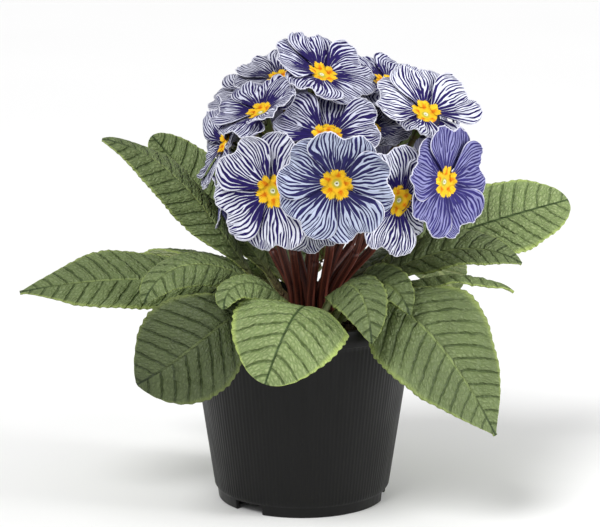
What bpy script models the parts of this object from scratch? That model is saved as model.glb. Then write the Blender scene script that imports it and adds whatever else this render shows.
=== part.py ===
"""Potted primrose: a ribbed nursery pot, its soil, a rosette of leaves and a dome of striped flowers.

Metres, +Z up. The origin is the centre of the pot's underside. Bearings are degrees round the pot: 0 points
along -Y, to the front, and 90 along +X.
"""

import math

import bmesh
import bpy
from mathutils import Matrix, Vector
from mathutils.bvhtree import BVHTree

MM = 0.001
GAP = 0.4 * MM
SHARP_FROM = math.radians(40)

# Driving dimensions of the pot.
POT_HEIGHT = 89 * MM
RIM_RADIUS = 52.5 * MM
FOOT_RADIUS = 39 * MM
WALL = 1.3 * MM
LIP_HEIGHT = 8 * MM
LIP_STEP = 1.2 * MM
FOOT_HEIGHT = 4.7 * MM
FOOT_WIDTH = 3 * MM
FLUTES = 30
FLUTE_DEPTH = 0.45 * MM
NOTCH_BEARINGS = (-39, 81, 201)
NOTCH_WIDTH = 15 * MM
DRAIN_REACH = 9 * MM

# Driving dimensions of the soil and the crown that everything grows from.
SOIL_LEVEL = 78 * MM
SOIL_MOUND = 3 * MM
CROWN_CENTRE = Vector((5 * MM, -1 * MM, 0))
CROWN_RADIUS = 12 * MM
CROWN_FOOT = 66 * MM
CROWN_TOP = 88 * MM

# Driving dimensions of a leaf.
BLADE_THICKNESS = 0.9 * MM
PETIOLE_HALF_WIDTH = 1.85 * MM
PETIOLE_DEPTH = 2.6 * MM
RIB_DEPTH_AT_TIP = 0.3 * MM
TIP_HALF_WIDTH = 0.9 * MM
LEAF_FOOT_LEVEL = 84.5 * MM
LEAF_STEPS = 11
SMALL_LEAF_STEPS = 7
LEAF_ACROSS = 4
LEAF_ROWS_GATHER = 1.35
LEAF_SWELL = 1.2
LEAF_OPENS_BY = 0.55
STALK_LEANS_IN = 0.6
WAVES_ALONG = 19
WAVE_SHIFT = 1.4

# Driving dimensions of a flower 50 mm across. A bloom's own size scales them.
PETALS = 5
PETAL_REACH = 25.5 * MM
PETAL_ROOT = 3.4 * MM
PETAL_ROOT_HALF_WIDTH = 2.4 * MM
PETAL_HALF_WIDTH = 14.6 * MM
PETAL_THICKNESS = 0.7 * MM
PETAL_OVERLAP_LIFT = 1.3 * MM
PETAL_RUFFLE = 0.7 * MM
PETAL_TROUGH = 1.2 * MM
PETAL_WIDEST = 0.74
PETAL_FILL = 1.35
PETAL_TIP_NARROWS = 0.12
TIP_NOTCH = 0.11
TIP_NOTCH_WIDTH = 0.3
TIP_ROUNDS = 0.18
LIFT_POWER = 1.3
LIFT_AT_ROOT = 0.4
LIFT_FULL_FROM = 0.38
RUFFLES_ACROSS = 4.2
RUFFLE_STEP = 2.1
RUFFLE_TURN = 0.13
TROUGH_POWER = 1.6
FLARE_FOLLOWS_BEND = 0.4
THROAT_DEPTH = 1 * MM
TUBE_RADIUS = 1.5 * MM
TUBE_TAPER = 0.85
TUBE_START = 2.6 * MM
TUBE_END = 8 * MM
CALYX_RIM = 6 * MM
CALYX_END = 17.5 * MM
CALYX_RADIUS = 3.1 * MM
CALYX_TOOTH = 1.6 * MM
CALYX_VALLEY = 1.2 * MM

# Driving dimensions of the flower stalks.
SCAPE_RADIUS = 2.3 * MM
PEDICEL_RADIUS = 1.35 * MM
STALK_SIDES = 5
BUD_RADIUS = 2.1 * MM
BUD_LENGTH = 12 * MM
BUD_PROFILE = ((0.35, 0), (0.8, 0.14), (1, 0.4), (0.85, 0.62), (0.5, 0.85), (0.12, 1))
BUD_STALK_SHARE = 0.3

GREEN = (0.12, 0.22, 0.05)
# A leaf: bearing of its foot on the crown, half width, where it is widest, roundness of its tip (0.4 round, 1.2
# pointed), fold (up at its edges) and curl (down again) in degrees, which way its blade looks, height of its
# waves, phase of its waves, and the last three of the four points in mm that its midrib's curve is drawn by.
LEAVES = {
    "leaf_far_left": dict(
        foot=-84, width=19.6, widest=0.5, blunt=1.05, fold=8, curl=18,
        face=(0.05, -0.5, 0.85), wave=1.2, phase=0.4,
        rib=((-30, -8, 104), (-76, -20, 112), (-126, -26, 101.5)),
    ),
    "leaf_left_arched": dict(
        foot=-64, width=11, widest=0.6, blunt=0.6, fold=-12, curl=30,
        face=(-0.1, -0.7, 0.7), wave=0.5, phase=2.1,
        rib=((-22, -22, 116), (-60, -47, 131), (-69, -54, 103)),
    ),
    "leaf_lower_left": dict(
        foot=-44, width=24, widest=0.6, blunt=0.72, fold=2, curl=10,
        face=(0.4, -0.85, 0.3), wave=1.6, phase=1.1, stalk=0.36,
        rib=((-22, -38, 114), (-38, -78, 90), (-72, -63, 69)),
    ),
    "leaf_front": dict(
        foot=-6, width=26, widest=0.38, blunt=0.5, fold=6, curl=22,
        face=(-0.1, -0.85, 0.5), wave=0.8, phase=0.0, stalk=0.34,
        rib=((4, -36, 102), (-3, -70, 112), (-16, -78, 73)),
    ),
    "leaf_front_left_small": dict(
        foot=-25, width=8, widest=0.6, blunt=0.5, fold=-10, curl=30,
        face=(-0.1, -0.75, 0.65), wave=0.4, phase=3.0,
        rib=((-13, -34, 114), (-35, -54, 117), (-34, -60, 102)),
    ),
    "leaf_front_right_small": dict(
        foot=17, width=13, widest=0.5, blunt=0.75, fold=-8, curl=22,
        face=(0.1, -0.85, 0.5), wave=0.4, phase=0.7,
        rib=((14, -30, 112), (28, -60, 122), (30, -73, 90)),
    ),
    "leaf_right_small": dict(
        foot=38, width=10, widest=0.55, blunt=0.8, fold=18, curl=10,
        face=(0.1, -0.75, 0.65), wave=0.4, phase=1.9,
        rib=((22, -24, 108), (41, -44, 118), (47, -54, 98)),
    ),
    "leaf_lower_right": dict(
        foot=58, width=28, widest=0.42, blunt=1.0, fold=8, curl=20,
        face=(0.3, -0.8, 0.5), wave=1.6, phase=2.6,
        rib=((34, -32, 114), (60, -60, 96), (85, -60, 45)),
    ),
    "leaf_right_edge": dict(
        foot=80, width=10, widest=0.5, blunt=0.8, fold=-14, curl=20,
        face=(0, 0.1, 1), wave=1.8, phase=0.9,
        rib=((36, -8, 102), (70, -20, 117), (95, -22, 101)),
    ),
    "leaf_right_long": dict(
        foot=101, width=14, widest=0.55, blunt=0.8, fold=16, curl=20,
        face=(0, -0.45, 0.9), wave=1.0, phase=1.5,
        rib=((36, 2, 108), (74, -2, 127), (100, 0, 109)),
    ),
    "leaf_right_back": dict(
        foot=123, width=21, widest=0.6, blunt=0.45, fold=6, curl=10,
        face=(-0.15, -0.75, 0.65), wave=1.0, phase=2.2,
        rib=((32, 12, 110), (78, 38, 119), (126, 58, 127)),
    ),
    "leaf_upper_left": dict(
        foot=-105, width=14, widest=0.5, blunt=0.6, fold=-18, curl=16,
        face=(-0.2, -0.3, 0.93), wave=1.0, phase=0.2,
        rib=((-28, 2, 100), (-48, 10, 160), (-91, 13, 164)),
    ),
    "leaf_upper_left_back": dict(
        foot=-127, width=15, widest=0.6, blunt=0.5, fold=14, curl=10,
        face=(-0.1, -0.6, 0.75), wave=0.9, phase=1.3,
        rib=((-18, 18, 110), (-44, 36, 134), (-70, 45, 160)),
    ),
    "leaf_back_left": dict(
        foot=-150, width=25, widest=0.5, blunt=0.6, fold=10, curl=24,
        face=(0, 0.4, 0.9), wave=1.4, phase=0.5, stalk=0.12,
        rib=((-22, 30, 106), (-54, 60, 114), (-84, 76, 74)),
    ),
    "leaf_back": dict(
        foot=-174, width=24, widest=0.45, blunt=0.5, fold=8, curl=24,
        face=(0, 0.8, 0.6), wave=1.4, phase=1.8, stalk=0.12,
        rib=((-8, 34, 106), (-12, 60, 130), (-14, 80, 96)),
    ),
    "leaf_back_right": dict(
        foot=148, width=25, widest=0.5, blunt=0.6, fold=10, curl=24,
        face=(0, 0.4, 0.9), wave=1.4, phase=2.9, stalk=0.12,
        rib=((22, 28, 106), (50, 62, 122), (74, 76, 78)),
    ),
}

# A bloom: centre of its eye in mm, the bearing and elevation that it faces, the clock angle of one petal as
# seen from its front, its size, how far its petals rise like a cup, and how far they bend back at their ends.
BLOOMS = {
    "front": dict(eye=(15, -52, 155.8), face=(-7, -8), turn=10, size=1.03, cup=17, flare=12),
    "right": dict(eye=(63.2, -30, 152.5), face=(46, 4), turn=10, size=1.0, cup=8, flare=10),
    "front_right": dict(eye=(42.6, -42, 146.5), face=(28, -6), turn=-14, size=0.96, cup=12, flare=12),
    "front_left": dict(eye=(-13, -41, 150.5), face=(-22, 0), turn=27, size=1.05, cup=12, flare=12),
    "right_top": dict(eye=(55, -18, 181), face=(28, 50), turn=8, size=1.0, cup=15, flare=14),
    "top": dict(eye=(9, -6, 197), face=(40, 56), turn=17, size=0.96, cup=15, flare=14),
    "centre": dict(eye=(11, -33, 173.5), face=(-4, 44), turn=8, size=0.96, cup=18, flare=12),
    "left": dict(eye=(-18.5, -22, 182.5), face=(-42, 60), turn=35, size=0.88, cup=12, flare=14),
    "low_middle": dict(eye=(3, -31, 139), face=(-10, 0), turn=10, size=0.72, cup=10, flare=12, plain=True),
    "top_right": dict(eye=(38, 10, 191), face=(55, 72), turn=5, size=0.9, cup=16, flare=14),
    "top_left": dict(eye=(-10, 14, 192), face=(-24, 68), turn=4, size=0.84, cup=14, flare=14),
    "top_left_back": dict(eye=(-24, 29, 183), face=(-60, 56), turn=12, size=0.8, cup=14, flare=14, plain=True),
    "left_upper": dict(eye=(-35, 6, 163), face=(-80, 22), turn=22, size=0.9, cup=12, flare=14),
    "left_low": dict(eye=(-37, 5, 139), face=(-88, -4), turn=16, size=0.84, cup=12, flare=14, plain=True),
    "inner_right": dict(eye=(30, -7, 172), face=(20, 70), turn=5, size=0.78, cup=14, flare=14, plain=True),
    "right_side": dict(eye=(70, 6, 165), face=(86, 20), turn=18, size=0.9, cup=12, flare=14),
    "top_back": dict(eye=(14, 35, 187), face=(178, 46), turn=30, size=0.92, cup=12, flare=14, plain=True),
    "back_left": dict(eye=(-22, 43, 162), face=(-145, 24), turn=8, size=0.96, cup=12, flare=14, plain=True),
    "back": dict(eye=(20, 49, 166), face=(-178, 26), turn=0, size=0.96, cup=12, flare=14, plain=True),
    "back_right": dict(eye=(54, 34, 167), face=(132, 30), turn=14, size=0.96, cup=12, flare=14, plain=True),
    "back_left_low": dict(eye=(-8, 46, 141), face=(-165, -4), turn=26, size=0.96, cup=12, flare=14, plain=True),
    "back_right_low": dict(eye=(40, 47, 139), face=(155, -4), turn=30, size=0.9, cup=12, flare=14, plain=True),
}
BENDS = range(-49, 50, 7)
SHORTER = (1, 0.92, 0.84, 0.76, 0.68, 0.6)
FORWARD_COSTS = 10
SHORTER_COSTS = 90
SETTLING_PASSES = 6
CLEAR = 0.35 * MM

# A flower stalk: where it stands on the crown (bearing, distance in mm) and the blooms that it carries.
# A bud is given by its foot in mm and the way that it points.
SCAPES = {
    "scape_front": dict(foot=(27, 8.8), blooms=("front",)),
    "scape_front_left": dict(foot=(-46, 8.8), blooms=("front_left",)),
    "scape_centre": dict(foot=(-10, 8.8), blooms=("centre", "low_middle")),
    "scape_front_right": dict(foot=(63, 8.8), blooms=("front_right",)),
    "scape_right_low": dict(foot=(98, 8.8), blooms=("right",)),
    "scape_left": dict(foot=(-82, 8.8), blooms=("left", "left_upper")),
    "scape_left_low": dict(foot=(-118, 8.8), blooms=("left_low",)),
    "scape_right": dict(foot=(134, 8.8), blooms=("right_top", "right_side")),
    "scape_top": dict(
        foot=(-20, 3.4), blooms=("top", "top_back"), buds=(((9.6, -3.6, 113), (0.1, -0.1, 1)),),
    ),
    "scape_inner_right": dict(foot=(100, 3.4), blooms=("inner_right", "top_right")),
    "scape_top_left": dict(foot=(-140, 3.4), blooms=("top_left", "top_left_back", "back_left")),
    "scape_back": dict(foot=(-154, 8.8), blooms=("back_left_low", "back")),
    "scape_back_right": dict(foot=(170, 8.8), blooms=("back_right", "back_right_low")),
}
FORK_SHARE = 0.5
PETAL_ROWS = (0.42, 0.76, 1)
PETAL_COLUMNS = (-1, -0.72, -0.36, 0, 0.36, 0.72, 1)
PLAIN_PETAL_ROWS = (0.5, 1)
PLAIN_PETAL_COLUMNS = (-1, -0.52, 0, 0.52, 1)


def clear_scene():
    """Removes whatever the opened file holds."""
    for obj in list(bpy.data.objects):
        bpy.data.objects.remove(obj)


def material(name, colour, roughness):
    """A plain finish with one colour and roughness."""
    made = bpy.data.materials.new(name)
    made.use_nodes = True
    shader = made.node_tree.nodes["Principled BSDF"]
    shader.inputs["Base Color"].default_value = (*colour, 1)
    shader.inputs["Roughness"].default_value = roughness
    shader.inputs["Metallic"].default_value = 0
    return made


def object_from(bm, name, finish):
    """Turns a finished bmesh into a named object with its faces pointing out and its gentle bends smooth."""
    bmesh.ops.recalc_face_normals(bm, faces=bm.faces[:])
    mesh = bpy.data.meshes.new(name)
    bm.to_mesh(mesh)
    bm.free()
    mesh.shade_smooth()
    mesh.set_sharp_from_angle(angle=SHARP_FROM)
    mesh.materials.append(finish)
    obj = bpy.data.objects.new(name, mesh)
    bpy.context.scene.collection.objects.link(obj)
    return obj


def joined(base, others):
    """Fuses the other objects into the base with one Boolean union, and removes them."""
    group = bpy.data.collections.new(base.name + "_pieces")
    bpy.context.scene.collection.children.link(group)
    for other in others:
        bpy.context.scene.collection.objects.unlink(other)
        group.objects.link(other)
    union = base.modifiers.new("Join", "BOOLEAN")
    union.operation = "UNION"
    union.operand_type = "COLLECTION"
    union.collection = group
    union.solver = "MANIFOLD"
    bpy.context.view_layer.update()
    graph = bpy.context.evaluated_depsgraph_get()
    fused = bpy.data.meshes.new_from_object(base.evaluated_get(graph))
    base.modifiers.clear()
    base.data = fused
    for other in others:
        bpy.data.objects.remove(other)
    bpy.data.collections.remove(group)
    return base


def outward(bearing):
    """Unit vector level with the ground that points along a bearing in degrees."""
    angle = math.radians(bearing)
    return Vector((math.sin(angle), -math.cos(angle), 0))


def arc(length, start, turn):
    """End of a unit-rate arc: how far it goes along and up, where it starts at an angle and turns down."""
    if abs(turn) < 1e-6:
        return length * math.cos(start), length * math.sin(start)
    end = start - turn * length
    return (math.sin(start) - math.sin(end)) / turn, (math.cos(end) - math.cos(start)) / turn


def bezier(points, t):
    """Point and unit tangent of a cubic Bezier curve."""
    a, b, c, d = points
    back = 1 - t
    point = a * back**3 + b * (3 * back * back * t) + c * (3 * back * t * t) + d * t**3
    slope = (b - a) * back * back + (c - b) * (2 * back * t) + (d - c) * t * t
    return point, slope.normalized()


def evenly(points, share, samples=48):
    """Point and tangent at a share of a Bezier curve's own length."""
    spots = [bezier(points, k / samples)[0] for k in range(samples + 1)]
    lengths = [0.0]
    for first, second in zip(spots, spots[1:]):
        lengths.append(lengths[-1] + (second - first).length)
    wanted = share * lengths[-1]
    for k in range(samples):
        if lengths[k + 1] >= wanted or k == samples - 1:
            inside = (wanted - lengths[k]) / (lengths[k + 1] - lengths[k])
            return bezier(points, (k + min(inside, 1)) / samples)
    return bezier(points, 1)


def band(bm, low, high, flipped):
    """Fills the strip between two rows of corners with triangles. The rows may differ in number."""
    i = j = 0
    last_i, last_j = len(low) - 1, len(high) - 1
    while i < last_i or j < last_j:
        if j == last_j or (i < last_i and (i + 0.5) * last_j <= (j + 0.5) * last_i):
            trio = (low[i], low[i + 1], high[j])
            i += 1
        else:
            trio = (low[i], high[j + 1], high[j])
            j += 1
        bm.faces.new(trio[::-1] if flipped else trio)


def thick_sheet(bm, top, bottom, closed_root=True):
    """Makes a thin solid of two alike sets of rows of points. Both faces are split into triangles alike.

    Returns the corners of the first row, above and below.
    """
    upper = [[bm.verts.new(p) for p in row] for row in top]
    lower = [[bm.verts.new(p) for p in row] for row in bottom]
    for rows, flipped in ((upper, False), (lower, True)):
        for first, second in zip(rows, rows[1:]):
            band(bm, first, second, flipped)
    rims = []
    for rows in (upper, lower):
        rim = [row[0] for row in rows]
        rim += rows[-1][1:-1]
        rim += [row[-1] for row in reversed(rows)]
        if closed_root:
            rim += rows[0][-2:0:-1] + [rows[0][0]]
        rims.append(rim)
    band(bm, *rims, flipped=True)
    return upper[0], lower[0]


def ring(bm, radius, height, count, turn=0.0):
    """A ring of points round the Z axis. radius and height may be functions of the point's number."""
    made = []
    for k in range(count):
        angle = 2 * math.pi * k / count + turn
        r = radius(k) if callable(radius) else radius
        z = height(k) if callable(height) else height
        made.append(bm.verts.new((r * math.sin(angle), -r * math.cos(angle), z)))
    return made


def turned(bm, rings, closed_ends=True):
    """Joins rings of points one after another and caps the first and the last."""
    count = len(rings[0])
    for low, high in zip(rings, rings[1:]):
        for k in range(count):
            nxt = (k + 1) % count
            bm.faces.new((low[k], low[nxt], high[nxt], high[k]))
    if closed_ends:
        bm.faces.new(rings[0][::-1])
        bm.faces.new(rings[-1])


def fluted(radius):
    """Radius of the pot's wall at each of its columns: a rib, then the valley beside it."""
    return lambda k: radius - (FLUTE_DEPTH if k % 2 else 0)


def wall_radius(height):
    """Outer radius of the pot's body at a height."""
    top = RIM_RADIUS - LIP_STEP
    share = (height - FOOT_HEIGHT) / (POT_HEIGHT - LIP_HEIGHT - FOOT_HEIGHT)
    return FOOT_RADIUS + 1 * MM + (top - FOOT_RADIUS - 1 * MM) * share


def cutter(bm, name):
    """An object that only cuts others."""
    obj = object_from(bm, name, bpy.data.materials["pot_plastic"])
    obj.hide_render = True
    obj.display_type = "WIRE"
    return obj


def cut(obj, tool):
    """Adds a Boolean cut to an object."""
    made = obj.modifiers.new(tool.name, "BOOLEAN")
    made.operation = "DIFFERENCE"
    made.object = tool
    made.solver = "EXACT"


def build_pot():
    """The nursery pot: fluted wall, plain lip, raised floor and a foot ring with drain notches."""
    columns = 2 * FLUTES
    lip_foot = POT_HEIGHT - LIP_HEIGHT
    bm = bmesh.new()
    rings = [
        ring(bm, FOOT_RADIUS - 0.8 * MM, 0, columns),
        ring(bm, FOOT_RADIUS, FOOT_HEIGHT, columns),
        ring(bm, fluted(wall_radius(FOOT_HEIGHT + 2 * MM)), FOOT_HEIGHT + 2 * MM, columns),
        ring(bm, fluted(wall_radius(lip_foot)), lip_foot, columns),
        ring(bm, RIM_RADIUS - 0.4 * MM, lip_foot + 0.3 * MM, columns),
        ring(bm, RIM_RADIUS, POT_HEIGHT, columns),
    ]
    turned(bm, rings)
    pot = object_from(bm, "pot", material("pot_plastic", (0.018, 0.018, 0.019), 0.5))

    bm = bmesh.new()
    inner_foot = wall_radius(FOOT_HEIGHT) - WALL - 1 * MM
    turned(bm, [
        ring(bm, inner_foot, FOOT_HEIGHT + WALL, FLUTES),
        ring(bm, RIM_RADIUS - WALL, POT_HEIGHT + 1 * MM, FLUTES),
    ])
    cut(pot, cutter(bm, "cut_inside"))

    bm = bmesh.new()
    under = FOOT_RADIUS - FOOT_WIDTH
    turned(bm, [ring(bm, under, -1 * MM, FLUTES), ring(bm, under, FOOT_HEIGHT, FLUTES)])
    cut(pot, cutter(bm, "cut_under"))

    for number, bearing in enumerate(NOTCH_BEARINGS):
        bm = bmesh.new()
        depth = DRAIN_REACH + 6 * MM
        place = Matrix.Rotation(math.radians(bearing), 4, "Z")
        place @= Matrix.Translation((0, -(FOOT_RADIUS + 6 * MM - depth / 2), 0))
        place @= Matrix.Diagonal((NOTCH_WIDTH, depth, 2 * FOOT_HEIGHT - 0.2 * MM, 1))
        bmesh.ops.create_cube(bm, size=1, matrix=place)
        cut(pot, cutter(bm, f"cut_notch_{number}"))
        bm = bmesh.new()
        place = Matrix.Rotation(math.radians(bearing), 4, "Z")
        place @= Matrix.Translation((0, -(under - DRAIN_REACH / 2 - 0.5 * MM), FOOT_HEIGHT))
        place @= Matrix.Diagonal((NOTCH_WIDTH / 2, DRAIN_REACH - 2 * MM, 6 * MM, 1))
        bmesh.ops.create_cube(bm, size=1, matrix=place)
        cut(pot, cutter(bm, f"cut_drain_{number}"))
    return pot


def soil_height(x, y):
    """Lumpy surface of the soil, a little higher round the crown."""
    distance = math.hypot(x, y)
    mound = SOIL_MOUND * max(0, 1 - distance / RIM_RADIUS)
    lumps = 0.8 * MM * math.sin(190 * x + 1.3) * math.cos(170 * y - 0.4)
    return SOIL_LEVEL + mound + lumps


def build_soil():
    """The plug of soil, with a plain hole that the crown stands in."""
    count = 24
    bottom = FOOT_HEIGHT + WALL + GAP
    hole = CROWN_RADIUS + GAP
    outer_low = wall_radius(FOOT_HEIGHT) - WALL - 1 * MM - 1.2 * MM
    slope = (RIM_RADIUS - WALL - outer_low) / (POT_HEIGHT - bottom)
    outer_high = outer_low + slope * (SOIL_LEVEL - bottom) - 1 * MM
    bm = bmesh.new()
    levels = [ring(bm, outer_low, bottom, count), ring(bm, outer_high, SOIL_LEVEL, count)]
    for share in (0.72, 0.4):
        levels.append(ring(bm, outer_high * share + hole * (1 - share), SOIL_LEVEL, count))
    levels.append(ring(bm, hole, SOIL_LEVEL, count))
    levels.append(ring(bm, hole, CROWN_FOOT - GAP, count))
    for number, level in enumerate(levels):
        towards_crown = (0, 0, 0.3, 0.75, 1, 1)[number]
        for vert in level:
            vert.co += CROWN_CENTRE * towards_crown
            if 1 <= number <= 4:
                vert.co.z = soil_height(vert.co.x, vert.co.y)
    turned(bm, levels)
    bmesh.ops.triangulate(bm, faces=bm.faces[:])
    return object_from(bm, "soil", material("peat", (0.035, 0.024, 0.016), 0.95))


def build_crown():
    """The short rootstock in the middle of the rosette."""
    bm = bmesh.new()
    count = 14
    turned(bm, [
        ring(bm, CROWN_RADIUS * 0.7, CROWN_FOOT, count),
        ring(bm, CROWN_RADIUS - 0.3 * MM, CROWN_FOOT + 5 * MM, count),
        ring(bm, CROWN_RADIUS - 0.3 * MM, CROWN_TOP - 1.2 * MM, count),
        ring(bm, CROWN_RADIUS - 1 * MM, CROWN_TOP, count),
    ])
    bmesh.ops.translate(bm, verts=bm.verts[:], vec=CROWN_CENTRE)
    return object_from(bm, "crown", material("crown_flesh", (0.16, 0.1, 0.05), 0.7))


def leaf_rib(leaf):
    """Bezier points of a leaf's midrib: it starts at the crown's side and runs through its own points."""
    foot = CROWN_CENTRE + outward(leaf["foot"]) * (CROWN_RADIUS + GAP)
    foot.z = LEAF_FOOT_LEVEL
    return foot, *(Vector(p) * MM for p in leaf["rib"])


def leaf_half_width(leaf, share):
    """Half width of a leaf at a share of its length: a narrow winged stalk, a wide blade, a tip."""
    start, widest = leaf.get("stalk", 0.2), leaf["widest"]
    full = leaf["width"] * MM
    if share <= start:
        return PETIOLE_HALF_WIDTH
    along = (share - start) / (1 - start)
    if along < widest:
        swell = math.sin(math.pi / 2 * along / widest) ** LEAF_SWELL
        return PETIOLE_HALF_WIDTH + (full - PETIOLE_HALF_WIDTH) * swell
    rest = (along - widest) / (1 - widest)
    return max(TIP_HALF_WIDTH, full * math.cos(math.pi / 2 * rest) ** leaf["blunt"])


def leaf_point(leaf, rib, share, across):
    """Point of a leaf's upper face and the direction out of the face. across runs from -1 to 1."""
    point, along = evenly(rib, share)
    stalk_faces = Vector((0, 0, 1)) - outward(leaf["foot"]) * STALK_LEANS_IN
    blade_faces = Vector(leaf["face"])
    ease = min(1, share / LEAF_OPENS_BY)
    up = stalk_faces.normalized().lerp(blade_faces.normalized(), ease * ease * (3 - 2 * ease))
    up = (up - along * up.dot(along)).normalized()
    side = up.cross(along)
    width = leaf_half_width(leaf, share)
    opened = min(1, width / (leaf["width"] * MM))
    fold, curl = math.radians(leaf["fold"]) * opened, math.radians(leaf["curl"]) * opened
    reach, rise = arc(abs(across), fold, curl)
    wave = leaf["wave"] * MM * across**2 * opened
    wave *= math.sin(WAVES_ALONG * share + leaf["phase"] + (WAVE_SHIFT if across > 0 else 0))
    outside = math.copysign(1, across) if across else 0
    slope = fold - curl * abs(across)
    normal = up * math.cos(slope) - side * (outside * math.sin(slope))
    return point + side * (outside * reach * width) + up * (rise * width) + normal * wave, normal


def build_leaf(name, leaf, finish):
    """One leaf: stalk, midrib and blade in one thin solid."""
    rib = leaf_rib(leaf)
    steps = LEAF_STEPS if leaf["width"] > 15 else SMALL_LEAF_STEPS
    top, bottom = [], []
    for i in range(steps + 1):
        share = 1 - (1 - i / steps) ** LEAF_ROWS_GATHER
        upper, lower = [], []
        for j in range(LEAF_ACROSS + 1):
            across = 2 * j / LEAF_ACROSS - 1
            point, normal = leaf_point(leaf, rib, share, across)
            deep = BLADE_THICKNESS
            if 2 * j == LEAF_ACROSS:
                deep += RIB_DEPTH_AT_TIP + (PETIOLE_DEPTH - BLADE_THICKNESS) * (1 - share) ** 1.5
            upper.append(point)
            lower.append(point - normal * deep)
        top.append(upper)
        bottom.append(lower)
    bm = bmesh.new()
    thick_sheet(bm, top, bottom)
    return object_from(bm, name, finish)


def bloom_matrix(bloom):
    """Place of a bloom: its eye at the origin, its face along the local +Z and the local +Y upwards."""
    bearing, rise = bloom["face"]
    facing = outward(bearing) * math.cos(math.radians(rise))
    facing.z = math.sin(math.radians(rise))
    turn = facing.to_track_quat("Z", "Y").to_matrix().to_4x4()
    return Matrix.Translation(Vector(bloom["eye"]) * MM) @ turn @ Matrix.Scale(bloom["size"], 4)


def side_lift(bends, number, across):
    """Whether a side of a petal lies above its neighbour (1) or below it (-1). The more bent back lies below."""
    neighbour = (number + (-1 if across > 0 else 1)) % PETALS
    difference = bends[number] - bends[neighbour]
    return math.copysign(1, difference if difference else across)


def petal_point(bloom, petals, number, out, across, level):
    """Point of a petal in its bloom's own frame. out runs from root to tip, across from -1 to 1."""
    bend, share = petals[number]
    lobe = 1 - TIP_NOTCH * math.exp(-((across / TIP_NOTCH_WIDTH) ** 2)) - TIP_ROUNDS * abs(across) ** 3
    length = (PETAL_REACH * lobe - PETAL_ROOT) * out * share
    swell = math.sin(math.pi / 2 * min(1, out / PETAL_WIDEST)) ** PETAL_FILL
    half = PETAL_ROOT_HALF_WIDTH + (PETAL_HALF_WIDTH - PETAL_ROOT_HALF_WIDTH) * swell * (1 + share) / 2
    half *= 1 - PETAL_TIP_NARROWS * max(0, (out - PETAL_WIDEST) / (1 - PETAL_WIDEST)) ** 2
    start = math.radians(bloom["cup"] + bend)
    turn = math.radians(bloom["flare"] + FLARE_FOLLOWS_BEND * bend) / PETAL_REACH
    reach, rise = arc(length, start, turn)
    end = start - turn * length
    lift = side_lift([b for b, _ in petals], number, across)
    lift *= LIFT_AT_ROOT + (1 - LIFT_AT_ROOT) * min(1, out / LIFT_FULL_FROM)
    ruffle = math.sin(RUFFLES_ACROSS * across + RUFFLE_STEP * number + RUFFLE_TURN * bloom["turn"])
    bump = level + PETAL_OVERLAP_LIFT * lift * abs(across) ** LIFT_POWER
    bump += PETAL_RUFFLE * out * out * ruffle
    bump += PETAL_TROUGH * out * abs(across) ** TROUGH_POWER
    x = PETAL_ROOT + reach - bump * math.sin(end)
    z = rise + bump * math.cos(end)
    clock = math.radians(90 - bloom["turn"] - 360 / PETALS * number)
    return Matrix.Rotation(clock, 3, "Z") @ Vector((x, half * across, z))


def petal_sheet(bloom, petals, number, level):
    """Rows of points of one face of a petal, from its two root corners to its tip."""
    place = bloom_matrix(bloom)
    plain = bloom.get("plain")
    columns = PLAIN_PETAL_COLUMNS if plain else PETAL_COLUMNS
    rows = [(0, (-1, 1))] + [(out, columns) for out in (PLAIN_PETAL_ROWS if plain else PETAL_ROWS)]
    return [
        [place @ petal_point(bloom, petals, number, out, across, level) for across in row]
        for out, row in rows
    ]


def petal_tree(bloom, petals, number, half_thickness, first_row=0):
    """Search tree of one petal by itself, from one of its rows outwards."""
    bm = bmesh.new()
    top = petal_sheet(bloom, petals, number, half_thickness)
    bottom = petal_sheet(bloom, petals, number, -half_thickness)
    thick_sheet(bm, top[first_row:], bottom[first_row:])
    tree = BVHTree.FromBMesh(bm)
    bm.free()
    return tree


def is_clear(bloom, petals, number, others):
    """Whether a petal clears all that was built before its bloom, and the two petals beside it."""
    grown = petal_tree(bloom, petals, number, PETAL_THICKNESS / 2 + CLEAR)
    if any(grown.overlap(other) for other in others):
        return False
    blade = petal_tree(bloom, petals, number, PETAL_THICKNESS / 2, first_row=1)
    beside = [(number + step) % PETALS for step in (-1, 1)]
    return not any(blade.overlap(petal_tree(bloom, petals, n, PETAL_THICKNESS / 2, first_row=1)) for n in beside)


def settled(bloom, others):
    """Bend and length of each petal, changed as little as keeps all clear of what was built before the bloom."""
    choices = [(bend, share) for bend in BENDS for share in SHORTER]
    choices.sort(key=lambda c: abs(c[0] + 1) + FORWARD_COSTS * (c[0] > 0) + SHORTER_COSTS * (1 - c[1]))
    petals = [(0, 1)] * PETALS
    for _ in range(SETTLING_PASSES):
        crossing = [n for n in range(PETALS) if not is_clear(bloom, petals, n, others)]
        if not crossing:
            return petals
        for number in crossing:
            for choice in choices:
                tried = petals[:number] + [choice] + petals[number + 1:]
                if is_clear(bloom, tried, number, others):
                    petals = tried
                    break
    return petals


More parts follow.
